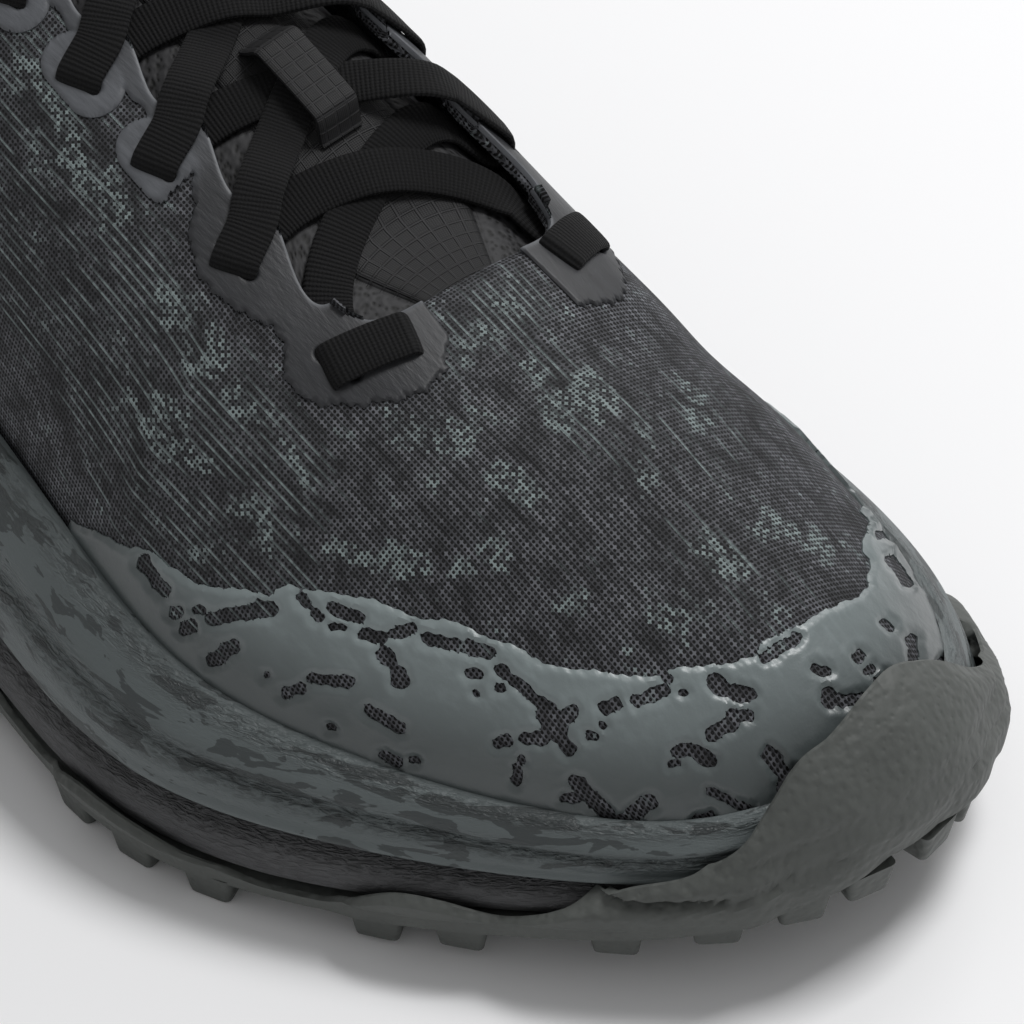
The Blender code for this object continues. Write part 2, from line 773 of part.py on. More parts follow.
def stay_body(table):
    """Eyestay: a film along the throat's edge."""
    rows = np.array(table)
    around = places_between(rows[0, 0], rows[-1, 0])
    width = read(table, 1, around * 24) * STAY_WIDTH
    distance = GAP + (width - GAP) * np.linspace(1, 0, 4)[:, None]
    around = np.broadcast_to(around, distance.shape)
    up = up_from_edge(around, distance)
    return shell(upper(around, up, OVERLAY_LIFT + STAY_THICKNESS), upper(around, up, OVERLAY_LIFT))


def throat_front():
    """X of the throat's front end."""
    return section(np.array([0.5]))[3][0, 0]


def throat_back():
    """X of the corner where the throat's edge turns into the collar."""
    return section(np.array([COLLAR_CORNER / 24]))[3][0, 0]


def slot_places():
    """X of the lace slots, evenly spaced from behind the throat's front to ahead of the collar's corner."""
    return np.linspace(throat_front() - SLOT_FRONT_SETBACK, throat_back() + SLOT_BACK_SETBACK, SLOT_COUNT)


def slot_cutter(x, side):
    """Block through eyestay and wall at one lace slot, long side along the throat."""
    around = throat_around(x, side)
    up = up_from_edge(around, SLOT_INSET)
    centre, normal = upper(around, up), wall_normal(around, up)
    edge_way = unit(upper(around + 1e-3, up) - upper(around - 1e-3, up))
    out_way = np.cross(normal, edge_way)
    corners = [(-1, -1), (1, -1), (1, 1), (-1, 1)]
    loop = np.array([edge_way * a * SLOT_LENGTH / 2 + out_way * b * SLOT_WIDTH / 2 for a, b in corners])
    reach = UPPER_WALL + TONGUE_GAP
    return prism(centre + loop + normal * reach, centre + loop - normal * reach)


# Tongue and laces


def tongue_grid():
    """Rows from the tip under the vamp, back along the throat, to the free top edge."""
    depth = -(UPPER_WALL + TONGUE_GAP)
    across = np.array([-2.0, -1.5, -1.0, -0.67, -0.33, 0.0, 0.33, 0.67, 1.0, 1.5, 2.0])
    around = (12 + across * TONGUE_SPREAD) / 24
    under = TONGUE_UNDERLAP * np.maximum(np.abs(across) - 1, 0)
    rows = [upper(around, up_from_edge(around, np.maximum(TONGUE_TIP * share, under)), depth)
            for share in (1.0, 0.5, 0.0)]
    places = np.linspace(throat_front() - TONGUE_FRONT, throat_back() + TONGUE_BACK_SETBACK, 9)
    rows += [saddle(np.full(len(across), x), across) for x in places]
    travel = unit(rows[-1].mean(0) - rows[-2].mean(0))
    for share in (0.4, 1.0):
        last = rows[-1]
        centre = last.mean(0)
        rows.append(centre + (last - centre) * [1, 1 - TONGUE_NARROWING * share, 1] + travel * TONGUE_FREE * share)
    return np.array(rows)


def tongue_body():
    """Tongue, padded in the middle and thin at its hem."""
    grid = tongue_grid()
    rows, columns = grid.shape[:2]
    down = np.minimum(1, np.minimum(np.arange(rows), np.arange(rows)[::-1] + 1) / 3)[:, None]
    over = np.minimum(1, np.minimum(np.arange(columns), np.arange(columns)[::-1]) / 3)[None]
    depth = TONGUE_HEM + (TONGUE_THICKNESS - TONGUE_HEM) * down * over
    return slab(grid, -depth[..., None], 0.0)


def strip(points, normals, low):
    """Flat lace along a line of points, its underside at a height over them."""
    way = unit(np.gradient(points, axis=0))
    side = unit(np.cross(normals, way))
    row = np.array([points - side * LACE_WIDTH / 2, points + side * LACE_WIDTH / 2]).transpose(1, 0, 2)
    low = np.broadcast_to(low, len(points))[:, None, None]
    lift = normals[:, None]
    return shell((row + lift * (low + LACE_THICKNESS))[::-1], (row + lift * low)[::-1])


def saddle_normal(x, across):
    across_step, x_step = 5e-3, 1e-4
    return unit(np.cross(saddle(x, across + across_step) - saddle(x, across - across_step),
                         saddle(x - x_step, across) - saddle(x + x_step, across)))


def lace_strip(x_start, x_end, side, over):
    """Lace from one side's slot across the tongue and under the other side's edge."""
    share = np.linspace(0, 1, 10)
    start = 1 + SLOT_INSET / TONGUE_UNDERLAP if over else LACE_TUCK
    across = side * (start - share * (start + LACE_TUCK))
    x = x_start + (x_end - x_start) * smooth(0.05, 0.95, share)
    above = UPPER_WALL + TONGUE_GAP + STAY_THICKNESS + OVERLAY_LIFT + 3 * GAP
    low = LACE_REST + (above - LACE_REST) * (1 - smooth(0.31, 0.52, share)) if over else LACE_REST
    return strip(saddle(x, across), saddle_normal(x, across), low)


def start_strip(side):
    """Lace from the first slot over the eyestay to the slit beside the tip of the vamp."""
    share = np.linspace(0, 1, 7)
    first = throat_around(slot_places()[0], side)
    around = first + (0.5 + side * START_COLUMN / 24 - first) * share
    up = up_from_edge(around, SLOT_INSET + (START_INSET - SLOT_INSET) * share)
    return strip(upper(around, up), wall_normal(around, up), OVERLAY_LIFT + STAY_THICKNESS + 2 * GAP)


def keeper_body():
    """Strap on the tongue that holds the lace at its third crossing."""
    x = np.mean(slot_places()[1:3])
    span = np.linalg.norm(saddle(x, 1.0) - saddle(x, -1.0))
    share, across = np.meshgrid(np.linspace(-1, 1, 11), np.linspace(-1, 1, 3) * KEEPER_WIDTH / span, indexing="ij")
    places = x - share * KEEPER_LENGTH / 2
    rise = (2 * LACE_THICKNESS + LACE_REST + 3 * GAP) * (1 - smooth(0.80, 1.0, np.abs(share)))
    normal = saddle_normal(places, across)
    low = (GAP + rise)[..., None]
    grid = saddle(places, across)
    return shell(grid + normal * (low + KEEPER_THICKNESS), grid + normal * low)


def build():
    for old in list(bpy.data.objects):
        bpy.data.objects.remove(old, do_unlink=True)
    parts = bpy.data.collections.new(OBJECT_NAME)
    cutters = bpy.data.collections.new("cutters")
    for group in (parts, cutters):
        bpy.context.scene.collection.children.link(group)

    rubber = material("olive_rubber", (0.055, 0.058, 0.056), 0.75)
    black_foam = material("black_foam", (0.028, 0.028, 0.030), 0.80)
    grey_foam = material("grey_foam", (0.085, 0.108, 0.110), 0.45)
    knit = material("black_knit", (0.016, 0.016, 0.018), 0.90)
    film = material("grey_film", (0.090, 0.108, 0.110), 0.40)
    dark_film = material("dark_film", (0.040, 0.041, 0.045), 0.55)
    ripstop = material("ripstop", (0.014, 0.014, 0.015), 0.70)
    webbing = material("black_webbing", (0.012, 0.012, 0.012), 0.85)
    liner = material("insole_cloth", (0.030, 0.030, 0.032), 0.90)

    around = column_places()
    outsole = add_object("outsole", *loft(outsole_points(around)), rubber, parts)
    lugs = add_object("lugs", *join(lug_bodies()), rubber, cutters)
    boolean(outsole, lugs, "UNION")
    add_object("midsole_base", *loft(base_rings(around)), black_foam, parts)
    add_object("midsole", *loft(midsole_points(around)), grey_foam, parts)
    add_object("insole", *loft(insole_points(around)), liner, parts)

    shoe_upper = add_object("upper", *upper_body(), knit, parts)
    add_object("toe_rand", *rand_body(), film, parts)
    stays = [add_object("eyestay_lateral", *stay_body(LATERAL_STAY), dark_film, parts),
             add_object("eyestay_medial", *stay_body(MEDIAL_STAY), dark_film, parts)]
    slots = [slot_cutter(x, side) for x in slot_places() for side in (LATERAL, MEDIAL)]
    slot_blocks = add_object("slot_blocks", *join(slots), dark_film, cutters)
    for cut in [shoe_upper, *stays]:
        boolean(cut, slot_blocks, "DIFFERENCE")

    add_object("tongue", *tongue_body(), ripstop, parts)
    add_object("tongue_keeper", *keeper_body(), ripstop, parts)
    add_object("lace_start_lateral", *start_strip(LATERAL), webbing, parts)
    add_object("lace_start_medial", *start_strip(MEDIAL), webbing, parts)
    places = slot_places()
    for level in range(SLOT_COUNT - 1):
        over = level > 0
        name = f"lace_cross_{level + 1}"
        first = add_object(name, *lace_strip(places[level], places[level + 1], LATERAL, over), webbing, parts)
        second = add_object(name + "_second", *lace_strip(places[level], places[level + 1], MEDIAL, over),
                            webbing, cutters)
        boolean(first, second, "UNION")

    centre_on_box(parts, cutters)
    for helper in cutters.objects:
        helper.hide_render = True
        helper.display_type = "WIRE"


def centre_on_box(parts, cutters):
    """Parents everything to an empty that brings the box's bottom centre to the origin."""
    bpy.context.view_layer.update()
    graph = bpy.context.evaluated_depsgraph_get()
    corners = np.array([corner[:] for made in parts.objects for corner in made.evaluated_get(graph).bound_box])
    low, high = corners.min(0), corners.max(0)
    origin = bpy.data.objects.new("origin", None)
    parts.objects.link(origin)
    origin.location = (-(low[0] + high[0]) / 2, -(low[1] + high[1]) / 2, -low[2])
    for made in [*parts.objects, *cutters.objects]:
        if made is not origin:
            made.parent = origin


build()
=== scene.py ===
"""Looks of a trail running shoe, right foot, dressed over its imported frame.

The shoe's surfaces follow the same functions as its solids: heel at X = 0, toe towards +X, outer (lateral)
side towards -Y, then moved into the frame by the insole's box. Lengths are in metres. A place around the
shoe is a share of the way round: 0 at the heel, 0.5 at the toe, by way of the lateral side; tables give it
in columns of 24. Tables of marks give pixels of the 1024 pixel wide photograph, which the photo's camera
lays onto the surfaces that face it.
"""

import bpy
import numpy as np
from mathutils import Matrix, Vector


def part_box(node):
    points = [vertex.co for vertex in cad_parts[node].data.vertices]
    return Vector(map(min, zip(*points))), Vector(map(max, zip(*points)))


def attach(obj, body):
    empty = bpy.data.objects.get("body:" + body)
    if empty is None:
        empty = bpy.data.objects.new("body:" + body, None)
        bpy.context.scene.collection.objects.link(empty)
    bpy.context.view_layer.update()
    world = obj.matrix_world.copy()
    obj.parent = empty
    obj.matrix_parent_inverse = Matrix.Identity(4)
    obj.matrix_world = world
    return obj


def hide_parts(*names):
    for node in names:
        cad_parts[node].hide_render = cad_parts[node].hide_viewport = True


bl_info = {
    "name": "Trail Running Shoe Looks",
    "version": (1, 0, 0),
    "blender": (4, 5, 0),
    "location": "View3D > Sidebar > Shoe",
    "description": "Dresses the frame of a trail running shoe with knit, film, foam, rubber and laces",
    "category": "Object",
}

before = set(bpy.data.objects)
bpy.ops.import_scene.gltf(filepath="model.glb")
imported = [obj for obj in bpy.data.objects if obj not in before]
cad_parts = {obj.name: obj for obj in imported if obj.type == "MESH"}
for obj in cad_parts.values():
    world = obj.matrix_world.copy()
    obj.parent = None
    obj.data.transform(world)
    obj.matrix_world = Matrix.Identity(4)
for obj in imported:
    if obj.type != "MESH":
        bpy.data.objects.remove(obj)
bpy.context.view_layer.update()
BODY = "root"

# The shoe's sizes, as its solids have them
SHOE_LENGTH = 0.302
BALL_WIDTH = 0.113
SIDE_HEIGHT = 0.046
BED_HEIGHT = 0.031
RIM_WIDTH = 0.009
TOE_SPRING = 0.014
ARCH_RISE = 0.004
LEVEL_BAND = 0.0005
INSTEP_HEIGHT = 0.100
WALL_RISE = 0.030
UPPER_WALL = 0.0018
COLLAR_PADDING = 0.0055
GAP = 0.0003
TRAY_CLEARANCE = 0.0013
BUMPER_CLEARANCE = 0.0022
OVERLAY_LIFT = 0.0004

# Sole pieces
LUG_HEIGHT = 0.0045
PLATE_THICKNESS = 0.0020
RUBBER_SKIN = 0.0016
LIP_HEIGHT = 0.0005
LIP_SKIN = 0.0010
KNEE_HEIGHT = 0.0014
BUMPER_RISE = 0.020
SIDE_DEPTH = 0.0030
RIM_CREST = 0.0015
INSOLE_THICKNESS = 0.0040
INSOLE_ROUNDING = 0.0012
EDGE_LUG_LENGTH = 0.0075
EDGE_LUG_DEPTH = 0.0105
CHEVRON_WIDTH = 0.020
CHEVRON_LENGTH = 0.010
LUG_DRAFT = 0.0007

# Overlays, tongue and laces
RAND_THICKNESS = 0.0009
STAY_WIDTH = 0.017
TONGUE_THICKNESS = 0.0035
TONGUE_HEM = 0.0014
TONGUE_UNDERLAP = 0.009
TONGUE_TIP = 0.012
TONGUE_SPREAD = 1.15
TONGUE_CROWN = 1.00
TONGUE_FRONT = 0.006
TONGUE_FREE = 0.0112
TONGUE_NARROWING = 0.12
LACE_WIDTH = 0.0070
LACE_THICKNESS = 0.0012
SLOT_COUNT = 6
SLOT_FRONT_SETBACK = 0.0071
SLOT_BACK_SETBACK = 0.0175
TONGUE_BACK_SETBACK = 0.0055
SLOT_INSET = 0.0085
SLOT_LENGTH = 0.0080
SLOT_WIDTH = 0.0024
START_INSET = 0.0047
KEEPER_LENGTH = 0.0190
KEEPER_WIDTH = 0.0076
KEEPER_THICKNESS = 0.0010
LACE_REST = 0.0008
TONGUE_GAP = LACE_THICKNESS + LACE_REST + 3 * GAP

# Columns that the tables count around the shoe
COLUMN_COUNT = 24

# First and last column of the throat on the lateral side, and the column of its back corner
THROAT_FIRST = 4.8
THROAT_LAST = 11.4
COLLAR_CORNER = 5

# Columns from the middle of the toe to the place where the lace's first bar goes in
START_COLUMN = 1.25

# Columns of points around the shoe, closer together at the toe by the drift
COLUMNS = 60
COLUMN_DRIFT = 0.2

SOLE_PLAN = (
    # along, lateral and medial side: shares of SHOE_LENGTH and BALL_WIDTH
    (0.000, 0.000, 0.000),
    (0.022, -0.235, 0.215),
    (0.085, -0.365, 0.345),
    (0.185, -0.410, 0.370),
    (0.300, -0.410, 0.335),
    (0.415, -0.430, 0.310),
    (0.530, -0.485, 0.325),
    (0.640, -0.540, 0.380),
    (0.745, -0.545, 0.427),
    (0.850, -0.412, 0.423),
    (0.935, -0.245, 0.345),
    (0.985, -0.080, 0.215),
    (1.000, 0.070, 0.070),
)
SOLE_HEIGHTS = (
    # along, spring of TOE_SPRING, arch of ARCH_RISE, seam and rim of SIDE_HEIGHT, bed of BED_HEIGHT,
    # ledge of RIM_WIDTH
    (0.00, 0.70, 0.0, 0.52, 1.00, 0.95, 0.60),
    (0.10, 0.06, 0.0, 0.49, 0.96, 0.98, 0.75),
    (0.30, 0.00, 0.0, 0.44, 0.90, 0.95, 0.95),
    (0.44, 0.00, 1.0, 0.42, 0.90, 0.91, 1.10),
    (0.52, 0.00, 0.9, 0.41, 0.90, 0.87, 1.10),
    (0.61, 0.00, 0.0, 0.39, 0.85, 0.82, 1.05),
    (0.70, 0.00, 0.0, 0.37, 0.74, 0.78, 1.02),
    (0.80, 0.04, 0.0, 0.355, 0.63, 0.74, 0.80),
    (0.90, 0.32, 0.0, 0.29, 0.49, 0.60, 0.52),
    (0.96, 0.62, 0.0, 0.23, 0.41, 0.47, 0.42),
    (1.00, 1.00, 0.0, 0.17, 0.37, 0.36, 0.38),
)
BASE_SIDE = (
    # height of the black layer, inset of SIDE_DEPTH
    (0.00, 1.10),
    (0.10, 0.10),
    (0.36, -0.50),
    (0.70, -0.40),
    (1.00, 0.55),
)
MIDSOLE_SIDE = (
    # height of the grey layer, inset of SIDE_DEPTH, share of the way in to the rim's crest
    (0.00, 0.55, 0.00),
    (0.05, 0.00, 0.00),
    (0.25, -0.15, 0.00),
    (0.42, 0.05, 0.05),
    (0.50, 0.25, 0.12),
    (0.60, 0.00, 0.22),
    (0.82, -0.05, 0.55),
    (1.00, 0.00, 1.00),
)
RUBBER_EDGE = (
    # column, height of the rubber's side wall of BUMPER_RISE
    (0.0, 0.45),
    (1.5, 0.33),
    (2.3, 0.24),
    (2.7, 0.00),
    (3.1, 0.00),
    (3.5, 0.21),
    (4.4, 0.21),
    (4.8, 0.00),
    (5.4, 0.00),
    (5.8, 0.15),
    (6.6, 0.16),
    (6.95, 0.00),
    (7.3, 0.00),
    (7.55, 0.18),
    (7.9, 0.18),
    (8.5, 0.00),
    (8.75, 0.00),
    (9.0, 0.22),
    (9.25, 0.20),
    (9.5, 0.08),
    (9.75, 0.18),
    (10.0, 0.33),
    (10.4, 0.38),
    (10.7, 0.55),
    (11.0, 0.84),
    (11.4, 0.92),
    (12.0, 1.00),
    (12.8, 0.96),
    (13.1, 0.86),
    (13.45, 0.60),
    (13.9, 0.40),
    (14.5, 0.26),
    (14.9, 0.00),
    (15.2, 0.00),
    (15.6, 0.22),
    (16.5, 0.22),
    (16.9, 0.00),
    (17.3, 0.00),
    (17.7, 0.15),
    (18.6, 0.15),
    (19.0, 0.00),
    (19.6, 0.00),
    (20.0, 0.21),
    (20.9, 0.21),
    (21.3, 0.00),
    (21.6, 0.00),
    (22.0, 0.24),
    (22.8, 0.33),
    (24.0, 0.45),
)
EDGE_LUGS = (
    # first column, last column, number of lugs
    (0.0, 0.0, 1),
    (0.9, 2.2, 4),
    (3.45, 4.5, 3),
    (5.75, 6.65, 3),
    (7.48, 8.25, 3),
    (8.95, 9.30, 2),
    (10.0, 11.6, 4),
    (12.35, 13.5, 3),
    (14.15, 14.65, 2),
    (15.55, 16.5, 4),
    (17.65, 18.6, 3),
    (19.95, 20.95, 3),
    (21.8, 23.1, 4),
)
CHEVRONS = (
    # along, pitch along, rows, middle of BALL_WIDTH, gap between the row's two lugs of CHEVRON_WIDTH,
    # direction of the point
    (0.110, 0.0600, 4, -0.015, 0.53, -1),
    (0.390, 0.0600, 3, -0.035, 0.08, -1),
    (0.605, 0.0560, 4, -0.042, 0.84, 1),
    (0.830, 0.0560, 2, 0.035, 0.53, 1),
)
UPPER_SECTIONS = (
    # column, then the throat or collar edge along, across and up, the rise and flare of the wall over
    # its foot, and the pull of the edge along, across and up: along of SHOE_LENGTH, across of BALL_WIDTH,
    # up of INSTEP_HEIGHT, rise and flare of WALL_RISE
    (0, 0.030, 0.000, 0.980, 0.90, 0.10, 0.030, 0.00, -0.30),
    (1, 0.036, -0.100, 0.970, 0.90, 0.10, 0.020, -0.01, -0.28),
    (2, 0.062, -0.200, 0.900, 0.85, 0.10, 0.008, -0.02, -0.26),
    (3, 0.120, -0.270, 0.790, 0.75, 0.08, 0.004, -0.04, -0.20),
    (4, 0.220, -0.285, 0.755, 0.75, 0.06, 0.008, -0.06, -0.18),
    (5, 0.360, -0.155, 0.985, 0.95, 0.05, 0.015, -0.14, -0.20),
    (6, 0.475, -0.110, 0.922, 0.95, 0.04, 0.020, -0.21, -0.13),
    (7, 0.590, -0.114, 0.810, 0.78, 0.03, 0.022, -0.23, -0.11),
    (8, 0.662, -0.128, 0.725, 0.67, 0.00, 0.038, -0.19, -0.10),
    (9, 0.697, -0.134, 0.686, 0.55, 0.00, 0.065, -0.14, -0.10),
    (10, 0.714, -0.102, 0.679, 0.52, 0.00, 0.115, -0.09, -0.105),
    (11, 0.719, -0.038, 0.685, 0.50, 0.00, 0.145, -0.04, -0.11),
    (12, 0.720, 0.035, 0.688, 0.50, 0.00, 0.155, 0.00, -0.11),
    (13, 0.721, 0.104, 0.682, 0.44, 0.00, 0.135, 0.02, -0.12),
    (14, 0.717, 0.166, 0.668, 0.39, 0.00, 0.100, 0.05, -0.125),
    (15, 0.699, 0.198, 0.672, 0.37, 0.00, 0.060, 0.065, -0.12),
    (16, 0.664, 0.200, 0.712, 0.44, 0.00, 0.030, 0.08, -0.11),
    (17, 0.592, 0.180, 0.812, 0.64, 0.00, 0.020, 0.10, -0.12),
    (18, 0.477, 0.170, 0.925, 0.90, 0.02, 0.020, 0.10, -0.16),
    (19, 0.360, 0.195, 0.985, 1.00, 0.04, 0.015, 0.09, -0.22),
    (20, 0.220, 0.280, 0.770, 0.75, 0.06, 0.008, 0.06, -0.18),
    (21, 0.120, 0.260, 0.800, 0.75, 0.08, 0.004, 0.04, -0.20),
    (22, 0.062, 0.190, 0.900, 0.85, 0.10, 0.008, 0.02, -0.26),
    (23, 0.036, 0.095, 0.970, 0.90, 0.10, 0.020, 0.01, -0.28),
)
RAND_TOP = (
    # column, height up the wall
    (6.9, 0.17),
    (7.4, 0.28),
    (8.0, 0.33),
    (9.0, 0.42),
    (10.0, 0.43),
    (11.0, 0.42),
    (12.0, 0.41),
    (13.0, 0.42),
    (14.0, 0.46),
    (15.0, 0.40),
    (16.0, 0.32),
    (16.8, 0.17),
)
LATERAL_STAY = (
    # column, width of STAY_WIDTH
    (4.9, 0.45),
    (5.6, 0.70),
    (6.3, 0.66),
    (7.0, 0.80),
    (7.8, 0.78),
    (8.5, 0.84),
    (9.3, 0.78),
    (10.2, 0.82),
    (10.9, 0.70),
)
MEDIAL_STAY = (
    # column, width of STAY_WIDTH
    (13.1, 0.70),
    (13.9, 0.82),
    (14.8, 0.78),
    (15.6, 0.84),
    (16.3, 0.78),
    (17.1, 0.80),
    (17.8, 0.66),
    (18.5, 0.70),
    (19.1, 0.45),
)

# The shoe's sides, as the sign of Y
LATERAL, MEDIAL = -1, 1

# Fineness of the dressed surfaces
FINE_DRIFT = 0.5
SOLE_COLUMNS = 760
WALL_ROWS = 15
BASE_ROWS = 26
FOAM_ROWS = 52
UPPER_COLUMNS = 560
UPPER_ROWS_FINE = 84
RAND_COLUMNS = 500
RAND_ROWS = 84
STAY_COLUMNS = 400
STAY_ROWS = 68
TONGUE_COLUMNS = 90
TONGUE_ROWS = 150
CORNER_POINTS = 5
LACE_STATIONS = 84
LACE_SECTION = 18
LOOP_POINTS = 12
KEEPER_STATIONS = 60

# Lights: step from the camera's target to the right, towards the camera and up, and side, in metres
KEY_PLACE = (0.50, -0.32, 1.30)
KEY_SIZE = 0.45
RIM_PLACE = (0.5, -1.1, 0.7)
RIM_SIZE = 0.6

# Sizes that only the dressed surfaces have: sole
FOAM_SWELL = 0.00045
LUG_STAND = 0.0006
LUG_CORNER = 0.0012
INSOLE_LEVELS = (0.0, 0.35, 0.7, 0.85, 1.0)

# Knit
SCALLOP_DEPTH = 0.0036
SCALLOP_LEAN = 0.6
HEEL_TURN = 0.040
HIDDEN_FLECK = 0.20
HIDDEN_STREAK = 0.35

# Rand
WALL_LENGTH = 0.055
RAND_TURN = 0.565
RAND_REACH = 0.60
RAND_LIFT = 0.00035
RAND_RIM = 0.00010
RAND_RIM_PLACE = 0.0009
RAND_RIM_WIDTH = 0.0008
# Width of the painted highlight along the rand's cut edges
RAND_EDGE_WIDTH = 0.0011
RAND_UNDERLAP = 0.001
# Heights over the midsole's rim: the rand's painted shade is full below the first and gone above the second
RAND_SHADE_UNDER = 0.003
RAND_SHADE_GONE_OVER = 0.017
RAND_FRAY = 0.0006
RAND_BASE = 0.0002
FILM_ROOT = 0.0003

# Eyestays
STAY_REACH = 0.021
STAY_LIFT = 0.0004
STAY_BASE = 0.0001
STAY_RINGS_FROM = 0.1805
STAY_CHANGE = 0.006
STAY_HEM = 0.0052
STAY_EDGE_WIDTH = 0.0006
STAY_EDGE_TUCK = 0.0002
STAY_END_SLOPE = 0.009
RING_WIDTH = 0.0032
RING_BLUR = 0.0004
SLOT_CLEARANCE = 0.0003

# Tongue: the ripstop panel's edge and seam as shares of half the throat's width, then its heights
PANEL_EDGE = (0.52, 0.60)
PANEL_SEAM = 0.56
PANEL_SEAM_WIDTH = 0.04
PANEL_SWELL = 0.0005
PANEL_SEAM_DEPTH = 0.0004

# Laces and keeper
CHORD_SEARCH = 0.009
LACE_CLEARANCE = 0.0002
LOOP_BULGE = 0.9
CROSSING_SPAN = 0.09
CROSSING_LIFT = 1.15
KEEPER_LIFT = 2.6

# Floor
FLOOR_REACH = 4.0

# Roughness of the clear coat and of the sheen, the same in every material
COAT_ROUGHNESS = 0.3
SHEEN_ROUGHNESS = 0.5

LUG_PROFILE = (
    # share of the way down from the root to the tip, inset of LUG_DRAFT
    (0.0, -0.4),
    (0.25, 0.0),
    (0.80, 0.9),
    (0.94, 1.2),
    (1.0, 1.9),
)
TORN_WAVES = (
    # waves that shift a pixel to the right, then those that shift it down: angle for each pixel to the
    # right and down, phase, strength
    ((0.21, 0.13, 0.0, 1.0), (-0.11, 0.47, 0.0, 0.7), (0.83, 0.61, 0.0, 0.5)),
    ((-0.15, 0.19, 1.0, 1.0), (0.43, 0.09, 0.0, 0.7), (-0.59, 0.77, 0.0, 0.5)),
)
MIDSOLE_WRINKLES = (
    # height up the grey layer, half width of the band, strength
    (0.93, 0.07, 0.75),
    (0.47, 0.12, 1.0),
)
BASE_WRINKLES = (
    # height up the black layer, half width of the band, strength
    (0.85, 0.20, 1.0),
    (0.40, 0.40, 0.5),
)
VAMP_FOLDS = (
    # x, y, half length and half width in metres, turn in degrees, height
    (0.236, 0.012, 0.030, 0.007, 84.0, -0.0006),
    (0.248, 0.008, 0.034, 0.008, 88.0, 0.0005),
    (0.226, -0.020, 0.014, 0.006, 60.0, -0.0005),
    (0.232, 0.040, 0.012, 0.006, 110.0, -0.0005),
    (0.262, -0.004, 0.020, 0.010, 70.0, -0.0003),
)
RAND_OUTLINE = (
    # photo pixels: the film's torn top edge from its lateral start to the far side, then round below it
    (73, 520), (82, 527), (98, 530), (126, 546), (147, 550), (170, 567), (196, 584), (242, 590),
    (271, 595), (287, 584), (310, 590), (336, 594), (369, 598), (389, 607), (418, 618), (451, 621),
    (470, 628), (490, 638), (512, 644), (525, 652), (541, 664), (577, 669), (620, 674), (649, 678),
    (682, 667), (721, 665), (754, 657), (760, 643), (799, 625), (825, 610), (858, 597), (868, 587),
    (865, 574), (870, 568), (861, 545), (868, 522), (858, 512), (1100, 300), (1100, 1100), (-100, 1100),
    (-100, 560), (60, 560),
)
STAY_OUTLINE = (
    # photo pixels: the lateral eyestay's outer edge, third slot to the vamp's tip, closed over the throat
    (196, 150), (193, 196), (190, 232), (192, 261), (206, 284), (229, 304), (258, 320), (281, 333),
    (283, 358), (288, 385), (305, 398), (327, 405), (354, 405), (382, 402), (402, 398), (421, 392),
    (438, 381), (447, 366), (450, 330), (444, 284), (430, 200), (330, 120), (230, 100),
)
RAND_HOLES = (
    # photo pixels: middle, half length, half width, turn in degrees
    (155, 577, 24, 7, 52), (146, 563, 9, 6, 80), (177, 612, 7, 6, 0), (200, 609, 7, 5, 0),
    (189, 627, 10, 7, -20), (221, 617, 17, 7, -12), (243, 613, 16, 8, -8), (266, 609, 13, 9, 10),
    (224, 653, 20, 8, -35), (267, 675, 4, 4, 0), (332, 680, 24, 6, 5), (294, 690, 14, 6, -20),
    (304, 600, 9, 6, 60), (318, 615, 8, 6, 60), (346, 613, 21, 6, 20), (338, 627, 9, 4, 5),
    (374, 636, 16, 6, 15), (403, 631, 15, 6, -15), (387, 657, 12, 8, 50), (400, 677, 13, 9, 75),
    (385, 718, 24, 6, 30), (332, 727, 6, 4, 20), (392, 758, 14, 5, 30), (415, 760, 6, 4, 0),
    (442, 642, 20, 7, 12), (478, 650, 19, 7, 16), (475, 674, 10, 6, 10), (477, 692, 4, 4, 0),
    (503, 672, 9, 6, 40), (500, 688, 7, 6, 0), (503, 741, 11, 6, -10), (528, 692, 24, 5, 40),
    (552, 722, 22, 12, 62), (568, 716, 14, 8, 130), (534, 738, 16, 7, 0), (566, 744, 14, 7, 60),
    (610, 706, 13, 8, -25), (603, 724, 5, 4, 0), (592, 736, 8, 5, 20), (522, 758, 5, 4, 0),
    (518, 773, 12, 5, 95), (650, 696, 21, 7, -22), (683, 692, 6, 4, 0), (667, 677, 7, 4, 30),
    (718, 685, 14, 9, 40), (742, 694, 14, 8, 5), (722, 728, 20, 8, -32), (740, 716, 15, 7, -4),
    (682, 750, 12, 6, -10), (703, 756, 15, 8, 32), (675, 764, 7, 4, -10), (819, 670, 11, 6, 15),
    (780, 648, 24, 6, -32), (858, 657, 7, 6, 60), (868, 670, 7, 5, 0), (881, 679, 9, 5, -35),
    (886, 626, 8, 5, 50), (912, 655, 21, 6, 82), (898, 572, 20, 6, 55), (920, 580, 9, 5, 65),
    (884, 537, 10, 4, 15), (829, 698, 11, 9, 60), (852, 700, 16, 7, -8), (592, 797, 30, 8, 46),
    (572, 797, 12, 5, 0), (640, 808, 20, 9, -38), (616, 818, 16, 5, 0), (775, 762, 18, 8, 55),
    (783, 790, 24, 6, 96), (797, 772, 8, 5, 0), (730, 800, 27, 5, 26), (703, 816, 12, 4, -20),
    (939, 664, 8, 4, 90), (943, 623, 13, 4, 75),
)
